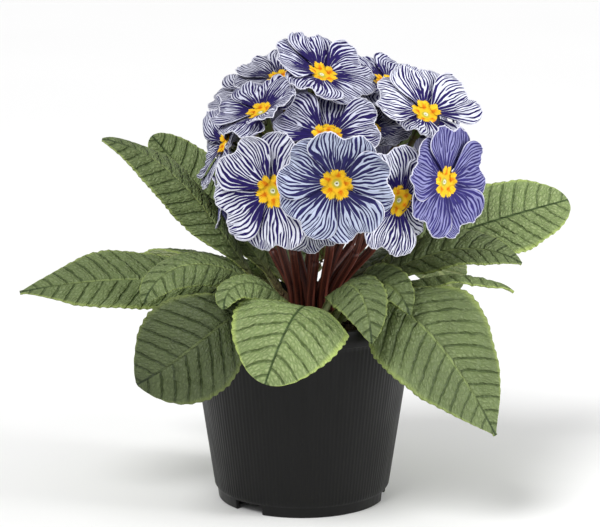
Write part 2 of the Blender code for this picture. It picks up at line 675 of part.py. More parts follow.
def build_petals(name, bloom, others, finish):
    """The corolla of one bloom: five notched petals that overlap, in one piece with the throat and its tube."""
    petals = settled(bloom, others)
    bm = bmesh.new()
    above, below = [], []
    for number in range(PETALS):
        half = PETAL_THICKNESS / 2
        top = petal_sheet(bloom, petals, number, half)
        bottom = petal_sheet(bloom, petals, number, -half)
        upper, lower = thick_sheet(bm, top, bottom, closed_root=False)
        above += upper[::-1]
        below += lower[::-1]
    tube, end = [], []
    for number in range(PETALS):
        clock = math.radians(90 - bloom["turn"] - 360 / PETALS * number)
        side = Matrix.Rotation(clock, 3, "Z") @ Vector((1, 0, 0))
        tube_rings = ((tube, TUBE_RADIUS, TUBE_START), (end, TUBE_RADIUS * TUBE_TAPER, TUBE_END))
        for corners, radius, depth in tube_rings:
            corners.append(bm.verts.new(bloom_matrix(bloom) @ (side * radius - Vector((0, 0, depth)))))
    throat = bm.verts.new(bloom_matrix(bloom) @ Vector((0, 0, -THROAT_DEPTH)))
    for k in range(2 * PETALS):
        bm.faces.new((above[k], above[(k + 1) % len(above)], throat))
    for k in range(PETALS):
        nxt = (k + 1) % PETALS
        edge, far = 2 * k + 1, 2 * nxt
        bm.faces.new((above[edge], below[edge], below[far], above[far]))
        bm.faces.new((below[2 * k], below[edge], tube[k]))
        bm.faces.new((below[edge], below[far], tube[nxt], tube[k]))
        bm.faces.new((tube[k], tube[nxt], end[nxt], end[k]))
    bm.faces.new(end)
    bmesh.ops.triangulate(bm, faces=[f for f in bm.faces if len(f.verts) > 3])
    return object_from(bm, name, finish)


def stalk(name, points, radii, finish, steps):
    """A round stalk along a Bezier curve, whose radius runs from the first value to the second."""
    bm = bmesh.new()
    rings = []
    sideways = None
    for k in range(steps + 1):
        share = k / steps
        point, along = evenly(points, share)
        if sideways is None:
            sideways = along.orthogonal().normalized()
        sideways = (sideways - along * sideways.dot(along)).normalized()
        other = along.cross(sideways)
        radius = radii[0] + (radii[1] - radii[0]) * share
        rings.append([
            bm.verts.new(point + (sideways * math.cos(a) + other * math.sin(a)) * radius)
            for a in (2 * math.pi * n / STALK_SIDES for n in range(STALK_SIDES))
        ])
    turned(bm, rings)
    bmesh.ops.triangulate(bm, faces=bm.faces[:])
    return object_from(bm, name, finish)


def build_calyx(name, bloom, finish):
    """The green cup behind a bloom, with five pointed teeth and a hollow that the tube stands in."""
    count = 2 * PETALS
    bm = bmesh.new()

    def toothed(k):
        return -CALYX_RIM + (CALYX_TOOTH if k % 2 else -CALYX_VALLEY)

    rings = [
        ring(bm, CALYX_RADIUS * 0.84, -CALYX_END * 0.66, count),
        ring(bm, CALYX_RADIUS, toothed, count),
        ring(bm, CALYX_RADIUS * 0.78, toothed, count),
    ]
    turned(bm, rings, closed_ends=False)
    foot = bm.verts.new((0, 0, -CALYX_END))
    floor = bm.verts.new((0, 0, -CALYX_END * 0.78))
    for k in range(count):
        nxt = (k + 1) % count
        bm.faces.new((rings[0][nxt], rings[0][k], foot))
        bm.faces.new((rings[2][k], rings[2][nxt], floor))
    bmesh.ops.triangulate(bm, faces=bm.faces[:])
    bmesh.ops.transform(bm, matrix=bloom_matrix(bloom), verts=bm.verts[:])
    return object_from(bm, name, finish)


def build_bud(name, foot, facing, finish):
    """A closed bud in its calyx."""
    bm = bmesh.new()
    count = 2 * STALK_SIDES
    turned(bm, [ring(bm, BUD_RADIUS * radius, BUD_LENGTH * level, count) for radius, level in BUD_PROFILE])
    bmesh.ops.triangulate(bm, faces=bm.faces[:])
    place = Matrix.Translation(foot) @ facing.to_track_quat("Z", "Y").to_matrix().to_4x4()
    bmesh.ops.transform(bm, matrix=place, verts=bm.verts[:])
    return object_from(bm, name, finish)


def build_scape(name, scape, finish):
    """One flower stalk: it stands on the crown, forks, and carries a calyx at the end of each branch."""
    bearing, distance = scape["foot"]
    foot = CROWN_CENTRE + outward(bearing) * distance * MM
    foot.z = CROWN_TOP + GAP
    places = [bloom_matrix(BLOOMS[b]) for b in scape["blooms"]]
    ends = [place @ Vector((0, 0, -CALYX_END + 2 * MM)) for place in places]
    middle = sum(ends, Vector()) / len(ends)
    fork = foot.lerp(middle, FORK_SHARE)
    fork.z = foot.z + (min(e.z for e in ends) - foot.z) * FORK_SHARE
    lean = (fork - foot).normalized()
    rise = (fork - foot).length / 3
    stem_points = (foot, foot + Vector((0, 0, rise)), fork - lean * rise, fork)
    stem = stalk(name, stem_points, (SCAPE_RADIUS, SCAPE_RADIUS * 0.85), finish, 3)
    pieces = []
    for number, (place, end) in enumerate(zip(places, ends)):
        facing = place.to_3x3() @ Vector((0, 0, 1))
        facing.normalize()
        reach = (end - fork).length / 2.4
        start = fork - lean * 1.5 * MM
        points = (start, start + lean * reach, end - facing * reach, end)
        radii = (PEDICEL_RADIUS * 1.1, PEDICEL_RADIUS)
        pieces.append(stalk(f"{name}_pedicel_{number}", points, radii, finish, 3))
        pieces.append(build_calyx(f"{name}_calyx_{number}", BLOOMS[scape["blooms"][number]], finish))
    for number, (bud, facing) in enumerate(scape.get("buds", ())):
        start, along = evenly(stem_points, BUD_STALK_SHARE)
        end, facing = Vector(bud) * MM, Vector(facing).normalized()
        reach = (end - start).length / 3
        points = (start, start + along * reach, end - facing * reach, end + facing * 1 * MM)
        radii = (PEDICEL_RADIUS, PEDICEL_RADIUS * 0.7)
        pieces.append(stalk(f"{name}_bud_stalk_{number}", points, radii, finish, 3))
        pieces.append(build_bud(f"{name}_bud_{number}", end, facing, finish))
    return joined(stem, pieces)


def tree_of(obj):
    """Search tree of an object's own mesh."""
    bm = bmesh.new()
    bm.from_mesh(obj.data)
    tree = BVHTree.FromBMesh(bm)
    bm.free()
    return tree


def main():
    clear_scene()
    build_pot()
    build_soil()
    build_crown()
    built = []
    blade = material("leaf_green", GREEN, 0.55)
    for name, leaf in LEAVES.items():
        built.append(tree_of(build_leaf(name, leaf, blade)))
    stem = material("stem_red", (0.16, 0.03, 0.03), 0.5)
    for name, scape in SCAPES.items():
        built.append(tree_of(build_scape(name, scape, stem)))
    petal = material("petal_violet", (0.09, 0.05, 0.35), 0.6)
    for name, bloom in BLOOMS.items():
        built.append(tree_of(build_petals("bloom_" + name, bloom, built, petal)))


main()
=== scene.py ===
"""The potted primrose as it looks: striped petals, quilted leaves, red stalks, peat and a ribbed black pot.

Metres, +Z up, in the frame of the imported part. The origin is the centre of the pot's underside. Bearings are
degrees round the pot: 0 points along -Y, to the front, and 90 along +X.
"""

from __future__ import annotations

import logging
import math
import random
from collections.abc import Callable
from dataclasses import dataclass, field
from enum import Enum

import bmesh
import bpy
from mathutils import Matrix, Vector, kdtree, noise


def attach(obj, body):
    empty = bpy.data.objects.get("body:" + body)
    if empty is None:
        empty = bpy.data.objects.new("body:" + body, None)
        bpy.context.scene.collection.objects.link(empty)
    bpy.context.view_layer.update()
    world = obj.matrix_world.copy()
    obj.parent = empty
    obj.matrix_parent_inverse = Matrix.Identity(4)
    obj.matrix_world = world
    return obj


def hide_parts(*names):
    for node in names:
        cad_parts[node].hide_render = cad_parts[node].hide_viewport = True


Triple = tuple[float, float, float]
Socket = bpy.types.NodeSocket
Value = Socket | float

MM = 0.001
BODY = "root"
log = logging.getLogger("primrose")
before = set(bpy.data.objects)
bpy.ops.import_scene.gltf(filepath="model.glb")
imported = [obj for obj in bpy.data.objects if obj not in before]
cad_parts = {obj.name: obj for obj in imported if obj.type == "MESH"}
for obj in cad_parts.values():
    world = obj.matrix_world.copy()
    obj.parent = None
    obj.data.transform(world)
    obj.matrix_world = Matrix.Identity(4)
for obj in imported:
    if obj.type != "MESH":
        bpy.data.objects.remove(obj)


def smooth_step(value: float, low: float, high: float) -> float:
    """Eases from 0 at low to 1 at high.

    Args:
        value: Where to read the step.
        low: Where it starts.
        high: Where it ends.

    Returns:
        A number from 0 to 1.
    """
    share = min(1.0, max(0.0, (value - low) / (high - low)))
    return share * share * (3 - 2 * share)


def outward(bearing: float) -> Vector:
    """Returns the level unit vector that points along a bearing in degrees."""
    angle = math.radians(bearing)
    return Vector((math.sin(angle), -math.cos(angle), 0))


def arc(length: float, start: float, turn: float) -> tuple[float, float]:
    """Follows an arc that starts at an angle and bends down.

    Args:
        length: How far along the arc.
        start: Its first slope, in radians.
        turn: How much it bends down for each unit of length.

    Returns:
        How far its end has gone along, and how far up.
    """
    if abs(turn) < 1e-6:
        return length * math.cos(start), length * math.sin(start)
    end = start - turn * length
    return (math.sin(start) - math.sin(end)) / turn, (math.cos(end) - math.cos(start)) / turn


class Course:
    """A cubic Bezier curve that is read by its own length."""

    SAMPLES = 96

    def __init__(self, points: tuple[Vector, ...]) -> None:
        """Measures the curve through four points."""
        self.points = points
        self.lengths = [0.0]
        spots = [self.at(k / self.SAMPLES)[0] for k in range(self.SAMPLES + 1)]
        for first, second in zip(spots, spots[1:]):
            self.lengths.append(self.lengths[-1] + (second - first).length)

    @property
    def length(self) -> float:
        """Returns the curve's whole length."""
        return self.lengths[-1]

    def at(self, t: float) -> tuple[Vector, Vector]:
        """Returns the point and the unit tangent at a parameter from 0 to 1."""
        a, b, c, d = self.points
        back = 1 - t
        point = a * back**3 + b * (3 * back * back * t) + c * (3 * back * t * t) + d * t**3
        slope = (b - a) * back * back + (c - b) * (2 * back * t) + (d - c) * t * t
        return point, slope.normalized()

    def along(self, share: float) -> tuple[Vector, Vector]:
        """Returns the point and the unit tangent at a share of the curve's length."""
        wanted = share * self.length
        for k in range(self.SAMPLES):
            if self.lengths[k + 1] >= wanted:
                inside = (wanted - self.lengths[k]) / (self.lengths[k + 1] - self.lengths[k])
                return self.at((k + inside) / self.SAMPLES)
        return self.at(1)


class Graph:
    """Adds shader nodes to one new material and links them."""

    def __init__(self, name: str) -> None:
        """Makes the material with its plain shader."""
        self.material = bpy.data.materials.new(name)
        self.material.use_nodes = True
        self.tree = self.material.node_tree
        self.shader = self.tree.nodes["Principled BSDF"]

    def feed(self, socket: Socket, value: Value | Triple) -> None:
        """Links a socket to an input, or sets the input's own value."""
        if isinstance(value, bpy.types.NodeSocket):
            self.tree.links.new(value, socket)
        elif isinstance(value, tuple) and socket.type == "RGBA":
            socket.default_value = (*value, 1)
        else:
            socket.default_value = value

    def node(self, kind: str, inputs: dict[str | int, Value | Triple], **settings: object) -> bpy.types.Node:
        """Adds one node.

        Args:
            kind: The node's type name.
            inputs: What goes into its sockets, by name or number.
            settings: Its own properties.

        Returns:
            The new node.
        """
        made = self.tree.nodes.new(kind)
        for name, value in settings.items():
            setattr(made, name, value)
        for name, value in inputs.items():
            self.feed(made.inputs[name], value)
        return made

    def math(self, operation: str, a: Value, b: Value = 0.0, c: Value = 0.0) -> Socket:
        """Returns the result of one Math node."""
        return self.node("ShaderNodeMath", {0: a, 1: b, 2: c}, operation=operation).outputs[0]

    def step(self, value: Value, low: Value, high: Value, first: Value = 0.0, last: Value = 1.0) -> Socket:
        """Returns a value that eases from first, where the input is low, to last, where it is high."""
        inputs = {0: value, 1: low, 2: high, 3: first, 4: last}
        return self.node("ShaderNodeMapRange", inputs, interpolation_type="SMOOTHSTEP").outputs[0]

    def mix(self, share: Value, first: Value | Triple, second: Value | Triple) -> Socket:
        """Returns a colour that goes from first to second with share."""
        inputs = {0: share, 6: first, 7: second}
        return self.node("ShaderNodeMix", inputs, data_type="RGBA").outputs[2]

    def noise(self, place: Socket, scale: float, detail: float = 2.0, roughness: float = 0.5) -> Socket:
        """Returns a noise from 0 to 1 at a place."""
        inputs = {"Vector": place, "Scale": scale, "Detail": detail, "Roughness": roughness}
        return self.node("ShaderNodeTexNoise", inputs).outputs[0]

    def place(self) -> Socket:
        """Returns the place in the object's own metres."""
        return self.node("ShaderNodeTexCoord", {}).outputs["Object"]

    def map(self, name: str) -> tuple[Socket, Socket]:
        """Returns the two coordinates of a UV map by name."""
        spot = self.node("ShaderNodeUVMap", {}, uv_map=name).outputs[0]
        parts = self.node("ShaderNodeSeparateXYZ", {0: spot}).outputs
        return parts[0], parts[1]

    def spot(self, x: Value, y: Value = 0.0, z: Value = 0.0) -> Socket:
        """Returns a vector of three values."""
        return self.node("ShaderNodeCombineXYZ", {0: x, 1: y, 2: z}).outputs[0]

    def attribute(self, name: str) -> Socket:
        """Returns a value that the mesh carries by name."""
        return self.node("ShaderNodeAttribute", {}, attribute_name=name).outputs["Fac"]

    def bump(self, height: Socket, depth: float, under: Socket | None = None) -> Socket:
        """Returns the normal of a surface that stands up by depth metres where height is 1."""
        inputs: dict[str | int, Value | Triple] = {"Height": height, "Distance": depth, "Strength": 1.0}
        if under is not None:
            inputs["Normal"] = under
        return self.node("ShaderNodeBump", inputs).outputs[0]

    def finish(self, colour: Socket, roughness: Value, normal: Socket | None = None, **plain: float) -> bpy.types.Material:
        """Feeds the shader.

        Args:
            colour: The base colour.
            roughness: The roughness.
            normal: The bumped normal.
            plain: Other inputs of the shader that are the same all over, with _ for a space.

        Returns:
            The finished material.
        """
        self.feed(self.shader.inputs["Base Color"], colour)
        self.feed(self.shader.inputs["Roughness"], roughness)
        if normal is not None:
            self.feed(self.shader.inputs["Normal"], normal)
        for name, value in plain.items():
            self.feed(self.shader.inputs[name.replace("_", " ")], value)
        return self.material


class Tone(Enum):
    """How a bloom is coloured: its dark stripe, its pale ground, and how far the pale parts spread."""

    DEEP = ((0.012, 0.007, 0.066), (0.72, 0.74, 0.89), -0.10)
    CRISP = ((0.012, 0.007, 0.070), (0.82, 0.84, 0.96), 0.06)
    MISTY = ((0.016, 0.014, 0.070), (0.55, 0.61, 0.79), 0.10)
    VIOLET = ((0.022, 0.018, 0.105), (0.27, 0.27, 0.53), -0.03)
    # painted shade: a dimmer, greyer copy of the colours, for blooms that stand in shadow
    DUSKY = ((0.018, 0.016, 0.055), (0.62, 0.63, 0.74), 0.10)


@dataclass(frozen=True)
class PetalFace:
    """The striped upper side of a petal, with its golden star."""

    tone: Tone
    stripes: float = 4.7
    forks: tuple[tuple[float, float], ...] = ((0.34, 0.58), (0.80, 1.05))
    star_reach: float = 0.185
    gold: Triple = (0.86, 0.49, 0.010)
    yellow: Triple = (0.93, 0.66, 0.040)
    flame: Triple = (0.76, 0.19, 0.004)
    margin: Triple = (0.80, 0.80, 0.90)

    def ink_share(self, g: Graph, across: Socket, out: Socket, seed: Socket) -> tuple[Socket, Socket]:
        """Draws the stripes. Each pale stripe forks round a new dark one on its way out.

        Args:
            g: The material's graph.
            across: From -1 to 1 across the petal.
            out: From its root, 0, to its tip, 1.
            seed: A number of the petal's own.

        Returns:
            How dark the petal is, and the noise that frays the stripes.
        """
        shift = self.tone.value[2]
        drift = g.noise(g.spot(g.math("MULTIPLY", across, 1.7), g.math("MULTIPLY", out, 1.3), seed), 1.0)
        warped = g.math("MULTIPLY_ADD", g.math("SUBTRACT", drift, 0.5), 0.46, across)
        stripe = g.math("COSINE", g.math("MULTIPLY", warped, 2 * math.pi * self.stripes))
        for number, (start, end) in enumerate(self.forks, start=1):
            finer = g.math("COSINE", g.math("MULTIPLY", warped, 2 * math.pi * self.stripes * 2**number))
            chance = g.noise(g.spot(g.math("MULTIPLY", warped, 3.2), 0.0, g.math("ADD", seed, 5.0 * number)), 1.0, 1.0)
            forked = g.step(g.math("MULTIPLY_ADD", g.math("SUBTRACT", chance, 0.5), 1.1, out), start, end)
            stripe = g.math("MULTIPLY_ADD", g.math("SUBTRACT", finer, stripe), forked, stripe)
        fray = g.noise(g.spot(g.math("MULTIPLY", warped, 13.0), g.math("MULTIPLY", out, 3.0), seed), 1.0, 3.0, 0.6)
        frayed = g.math("MULTIPLY", g.math("SUBTRACT", fray, 0.5), g.step(out, 0.15, 0.6, 1.4, 3.0))
        stripe = g.math("ADD", stripe, frayed)
        cloud_place = g.spot(g.math("MULTIPLY", across, 1.3), g.math("MULTIPLY", out, 1.1), g.math("ADD", seed, 9.0))
        cloud = g.math("SUBTRACT", g.noise(cloud_place, 1.0, 1.0), 0.5)
        level = g.step(out, 0.16, 0.66, -0.98 + shift, 0.02 + shift)
        level = g.math("MULTIPLY_ADD", cloud, g.step(out, 0.1, 0.9, 2.4, 1.2), level)
        return g.step(g.math("SUBTRACT", stripe, level), -0.22, 0.22), fray

    def starred(self, g: Graph, colour: Socket, across: Socket, out: Socket, seed: Socket) -> Socket:
        """Lays a lobe of the ragged golden star over the petal's root.

        Args:
            g: The material's graph.
            colour: The petal's colour.
            across: From -1 to 1 across the petal.
            out: From its root, 0, to its tip, 1.
            seed: A number of the petal's own.

        Returns:
            The colour with the star.
        """
        side = g.math("ABSOLUTE", across)
        rounded = g.math("MULTIPLY", g.math("POWER", side, 1.9), -0.12)
        cleft = g.step(side, 0.0, 0.16, -0.034, 0.0)
        fray = g.noise(g.spot(g.math("MULTIPLY", across, 10.0), g.math("MULTIPLY", out, 4.0), seed), 1.0, 3.0, 0.7)
        ragged = g.math("SUBTRACT", fray, 0.5)
        reach = g.math("ADD", g.math("ADD", rounded, cleft), g.math("MULTIPLY_ADD", ragged, 0.17, self.star_reach))
        inside = g.math("SUBTRACT", reach, out)
        streak = g.noise(g.spot(g.math("MULTIPLY", across, 13.0), g.math("MULTIPLY", out, 2.5), seed), 1.0)
        gold = g.mix(g.step(streak, 0.42, 0.66), self.gold, self.yellow)
        wedge = g.math("ADD", g.math("MULTIPLY_ADD", out, 3.4, side), g.math("MULTIPLY", ragged, 0.9))
        gold = g.mix(g.step(wedge, 0.22, 0.66, 0.95, 0.0), gold, self.flame)
        colour = g.mix(g.step(inside, -0.035, 0.0, 0.0, 0.6), colour, self.tone.value[0])
        return g.mix(g.step(inside, -0.003, 0.008), colour, gold)

    def material(self) -> bpy.types.Material:
        """Returns the finish. Its map runs across the petal from 0 to 1 and out from root to tip."""
        dark, pale, _ = self.tone.value
        g = Graph("petal_face_" + self.tone.name.lower())
        u, out = g.map("petal")
        seed = g.attribute("seed")
        across = g.math("MULTIPLY_ADD", u, 2.0, -1.0)
        side = g.math("ABSOLUTE", across)
        share, fray = self.ink_share(g, across, out, seed)
        vein = g.noise(g.spot(g.math("MULTIPLY", across, 36.0), g.math("MULTIPLY", out, 4.0), seed), 1.0, 2.0)
        # fine veins darken the pale ground where the bump sinks it: vein colour and painted shade in those sunk lines
        ground = g.mix(g.step(vein, 0.32, 0.62), tuple(c * 0.66 for c in pale), pale)
        ink = g.mix(g.step(fray, 0.35, 0.7), dark, tuple(c * 1.7 for c in dark))
        colour = g.mix(share, ground, ink)
        edge_wave = g.math("MULTIPLY", g.math("SUBTRACT", fray, 0.5), 0.03)
        rim = g.step(g.math("ADD", out, edge_wave), 0.972, 0.988)
        flank = g.math("MULTIPLY", g.step(g.math("ADD", side, edge_wave), 0.974, 0.990), g.step(out, 0.3, 0.6))
        colour = g.mix(g.math("MULTIPLY", g.math("MAXIMUM", rim, flank), 0.9), colour, self.margin)
        colour = self.starred(g, colour, across, out, seed)
        ridges = g.math("SUBTRACT", vein, g.math("MULTIPLY", share, 0.9))
        return g.finish(colour, 0.7, g.bump(ridges, 0.16 * MM), Specular_IOR_Level=0.12)


@dataclass(frozen=True)
class PetalBack:
    """The pale underside of a petal, with darker veins that fan out."""

    pale: Triple = (0.46, 0.46, 0.60)
    dark: Triple = (0.10, 0.08, 0.24)
    base: Triple = (0.16, 0.17, 0.06)

    def material(self) -> bpy.types.Material:
        """Returns the finish."""
        g = Graph("petal_back")
        u, out = g.map("petal")
        seed = g.attribute("seed")
        vein = g.noise(g.spot(g.math("MULTIPLY", u, 46.0), g.math("MULTIPLY", out, 3.4), seed), 1.0, 3.0)
        share = g.step(vein, 0.40, 0.62)
        mottled = g.noise(g.place(), 260.0, 2.0)
        colour = g.mix(share, self.pale, self.dark)
        colour = g.mix(g.step(mottled, 0.35, 0.7, 0.0, 0.35), colour, self.pale)
        colour = g.mix(g.step(out, 0.94, 0.98, 0.0, 0.8), colour, (0.8, 0.8, 0.88))
        colour = g.mix(g.step(out, 0.08, 0.42, 1.0, 0.0), colour, self.base)
        return g.finish(colour, 0.7, g.bump(vein, 0.2 * MM), Specular_IOR_Level=0.12)


@dataclass(frozen=True)
class Throat:
    """The eye of a bloom: gold with five orange flames outside, green within, a white ring, and a mouth painted
    near-black as shade.
    """

    # painted shade: the inside of the tube's mouth is coloured near-black
    mouth: Triple = (0.02, 0.015, 0.01)
    ring: Triple = (0.74, 0.74, 0.55)
    green: Triple = (0.48, 0.44, 0.035)
    gold: Triple = (0.86, 0.50, 0.012)
    flame: Triple = (0.76, 0.22, 0.004)
    ink: Triple = (0.013, 0.010, 0.060)

    def material(self) -> bpy.types.Material:
        """Returns the finish. Its map gives how near the gap between two petals is, and how far the mouth."""
        g = Graph("throat")
        side, out = g.map("petal")
        spots = g.noise(g.place(), 900.0, 2.0)
        rough = g.math("SUBTRACT", spots, 0.5)
        wavy = g.math("MULTIPLY_ADD", rough, 0.10, out)
        # painted shade in the tube's mouth, then the pale ring
        colour = g.mix(g.step(wavy, 0.10, 0.13), self.mouth, self.ring)
        colour = g.mix(g.step(wavy, 0.19, 0.25), colour, self.green)
        colour = g.mix(g.step(wavy, 0.30, 0.62), colour, self.gold)
        flame = g.math("MULTIPLY", g.step(g.math("MULTIPLY_ADD", rough, 0.8, side), 0.15, 0.7, 0.9, 0.0), g.step(out, 0.5, 0.8))
        colour = g.mix(flame, colour, self.flame)
        colour = g.mix(g.step(wavy, 1.08, 1.18), colour, self.ink)
        return g.finish(colour, 0.6, g.bump(spots, 0.1 * MM), Specular_IOR_Level=0.2)


@dataclass(frozen=True)
class BladeFace:
    """The quilted upper side of a leaf: pale cells between sunk veins, and a light margin. The sunk veins and the
    midrib's groove carry painted shade, the cell tops a painted highlight, and each leaf's colour is scaled by painted
    light and shade.
    """

    cell: Triple = (0.182, 0.244, 0.086)
    # painted shade for the sunk side veins, the net between cells and the midrib's groove
    deep: Triple = (0.022, 0.050, 0.008)
    # painted highlight: a pale sheen on the tops of the bulged cells
    cell_highlight: Triple = (0.31, 0.365, 0.180)
    rib: Triple = (0.28, 0.36, 0.12)
    margin: Triple = (0.34, 0.43, 0.11)
    flush: Triple = (0.15, 0.05, 0.03)

    def material(self) -> bpy.types.Material:
        """Returns the finish. The veins map gives the side vein's number, and how far out across the blade."""
        g = Graph("blade_face")
        rank, reach = g.map("veins")
        u, v = g.map("blade")
        seed = g.attribute("seed")
        # painted light and shade: how much brighter or darker each leaf is painted for the light that falls on it
        painted_lighting = g.attribute("painted_lighting")
        side = g.math("ABSOLUTE", g.math("MULTIPLY_ADD", u, 2.0, -1.0))
        wobble = g.noise(g.spot(rank, g.math("MULTIPLY", reach, 3.0), seed), 1.3, 2.0)
        rank = g.math("MULTIPLY_ADD", g.math("SUBTRACT", wobble, 0.5), 0.32, rank)
        side_vein = g.step(g.math("PINGPONG", rank, 0.5), 0.0, 0.13, 1.0, 0.0)
        side_vein = g.math("MULTIPLY", side_vein, g.step(reach, 0.7, 1.2, 1.0, 0.45))
        midrib = g.step(reach, 0.012, 0.036, 1.0, 0.0)

        net_place = g.spot(g.math("MULTIPLY", rank, 3.6), g.math("MULTIPLY", reach, 9.0), seed)
        net = g.node("ShaderNodeTexVoronoi", {"Vector": net_place, "Scale": 1.0}, feature="DISTANCE_TO_EDGE").outputs[0]
        dome = g.step(net, 0.0, 0.38)
        grain = g.noise(g.place(), 1500.0, 3.0, 0.6)
        patch = g.noise(g.place(), 55.0, 2.0)

        # painted shade: the sunk side veins and the net between the cells are darkened
        sunk = g.math("MAXIMUM", side_vein, g.step(net, 0.0, 0.18, 0.34, 0.0))
        colour = g.mix(g.step(patch, 0.3, 0.7), self.cell, tuple(0.8 * c for c in self.cell))
        # painted highlight on the cell tops, stronger on leaves painted as better lit
        cell_highlight_share = g.math("MULTIPLY", g.math("MULTIPLY", dome, g.step(painted_lighting, 0.5, 1.3, 0.12, 0.52)), g.step(grain, 0.36, 0.6, 0.5, 1.0))
        colour = g.mix(cell_highlight_share, colour, self.cell_highlight)
        colour = g.mix(g.math("MULTIPLY", sunk, 0.6), colour, self.deep)
        # painted shade in the midrib's groove, towards the tip, and along the whole rib of leaves painted as better lit
        rib_shade = g.math("MAXIMUM", g.step(v, 0.66, 0.95), g.step(painted_lighting, 0.9, 1.2))
        colour = g.mix(g.math("MULTIPLY", midrib, 0.85), colour, g.mix(rib_shade, self.rib, self.deep))
        rim = g.step(g.math("MULTIPLY_ADD", g.math("SUBTRACT", patch, 0.5), 0.10, side), 0.88, 1.01)
        colour = g.mix(g.math("MULTIPLY", rim, 0.8), colour, self.margin)
        # painted light and shade: the leaf's whole colour is scaled up where light falls and down where it stands in
        # shade
        colour = g.node("ShaderNodeVectorMath", {0: colour, 1: g.spot(painted_lighting, painted_lighting, painted_lighting)}, operation="MULTIPLY").outputs[0]
        colour = g.mix(g.step(v, 0.02, 0.3, 0.75, 0.0), colour, self.flush)
        height = g.math("SUBTRACT", g.math("MULTIPLY_ADD", grain, 0.25, g.math("MULTIPLY", dome, 0.5)), side_vein)
        return g.finish(colour, 0.5, g.bump(height, 0.75 * MM), Specular_IOR_Level=0.35)


@dataclass(frozen=True)
class BladeBack:
    """The paler underside of a leaf, with raised veins."""

    ground: Triple = (0.24, 0.32, 0.12)
    rib: Triple = (0.46, 0.52, 0.24)

    def material(self) -> bpy.types.Material:
        """Returns the finish."""
        g = Graph("blade_back")
        rank, reach = g.map("veins")
        from_vein = g.math("PINGPONG", rank, 0.5)
        raised = g.math("MAXIMUM", g.step(from_vein, 0.03, 0.14, 1.0, 0.0), g.step(reach, 0.02, 0.09, 1.0, 0.0))
        net_place = g.spot(g.math("MULTIPLY", rank, 2.6), g.math("MULTIPLY", reach, 13.0), 0.0)
        net = g.node("ShaderNodeTexVoronoi", {"Vector": net_place, "Scale": 1.0}, feature="DISTANCE_TO_EDGE").outputs[0]
        raised = g.math("MAXIMUM", raised, g.step(net, 0.02, 0.12, 0.4, 0.0))
        grain = g.noise(g.place(), 1300.0, 2.0)
        colour = g.mix(raised, self.ground, self.rib)
        colour = g.mix(g.step(grain, 0.4, 0.7, 0.0, 0.3), colour, self.rib)
        return g.finish(colour, 0.62, g.bump(raised, 0.3 * MM), Sheen_Weight=0.15, Specular_IOR_Level=0.25)


@dataclass(frozen=True)
class StalkSkin:
    """The skin of a flower stalk: red below, greener near its calyx, with fine lengthwise ridges."""

    shade: Triple = (0.045, 0.009, 0.008)
    light: Triple = (0.27, 0.075, 0.045)
    green: Triple = (0.13, 0.15, 0.035)

    def material(self) -> bpy.types.Material:
        """Returns the finish. Its map runs round the stalk, and from its foot, 0, to its calyx, 1."""
        g = Graph("stalk_skin")
        u, v = g.map("stalk")
        ridge = g.noise(g.spot(g.math("MULTIPLY", u, 16.0), g.math("MULTIPLY", v, 1.5), 0.0), 1.0, 2.0)
        blotch = g.noise(g.place(), 120.0, 2.0)
        specks = g.noise(g.place(), 1500.0, 2.0)
        colour = g.mix(g.step(ridge, 0.35, 0.7), self.shade, self.light)
        greener = g.math("MULTIPLY", g.step(v, 0.55, 1.0), g.step(blotch, 0.3, 0.65, 0.4, 1.0))
        colour = g.mix(greener, colour, self.green)
        colour = g.mix(g.step(specks, 0.58, 0.7, 0.0, 0.35), colour, self.light)
        height = g.math("ADD", ridge, g.math("MULTIPLY", specks, 0.4))
        return g.finish(colour, 0.42, g.bump(height, 0.25 * MM), Specular_IOR_Level=0.4)


@dataclass(frozen=True)
class CalyxSkin:
    """The skin of a calyx: green, with darker ribs and a red flush."""

    green: Triple = (0.17, 0.24, 0.06)
    rib: Triple = (0.07, 0.07, 0.02)
    flush: Triple = (0.16, 0.04, 0.03)

    def material(self) -> bpy.types.Material:
        """Returns the finish."""
        g = Graph("calyx_skin")
        u, v = g.map("stalk")
        rib = g.step(g.math("PINGPONG", g.math("MULTIPLY", u, 5.0), 0.5), 0.04, 0.22, 1.0, 0.0)
        blotch = g.noise(g.place(), 300.0, 2.0)
        colour = g.mix(rib, self.green, self.rib)
        colour = g.mix(g.math("MULTIPLY", g.step(blotch, 0.4, 0.7), g.step(v, 0.0, 0.6, 0.9, 0.2)), colour, self.flush)
        return g.finish(colour, 0.5, g.bump(blotch, 0.2 * MM), Specular_IOR_Level=0.3)


@dataclass(frozen=True)
class PotPlastic:
    """Satin black plastic with fine moulding streaks and a little dust."""

    black: Triple = (0.0030, 0.0030, 0.0028)
    dust: Triple = (0.010, 0.0095, 0.008)

    def material(self) -> bpy.types.Material:
        """Returns the finish."""
        g = Graph("pot_black")
        place = g.place()
        grain = g.noise(place, 1400.0, 3.0, 0.6)
        streak_place = g.node("ShaderNodeMapping", {"Vector": place, "Scale": (400.0, 400.0, 7.0)}).outputs[0]
        streak = g.noise(streak_place, 1.0, 2.0)
        worn = g.noise(place, 45.0, 3.0)
        share = g.math("MULTIPLY", g.step(grain, 0.5, 0.75), g.step(worn, 0.4, 0.75, 0.1, 0.8))
        colour = g.mix(share, self.black, self.dust)
        roughness = g.step(streak, 0.3, 0.7, 0.34, 0.46)
        height = g.math("ADD", g.math("MULTIPLY", grain, 0.5), streak)
        return g.finish(colour, roughness, g.bump(height, 0.05 * MM), Specular_IOR_Level=0.22)


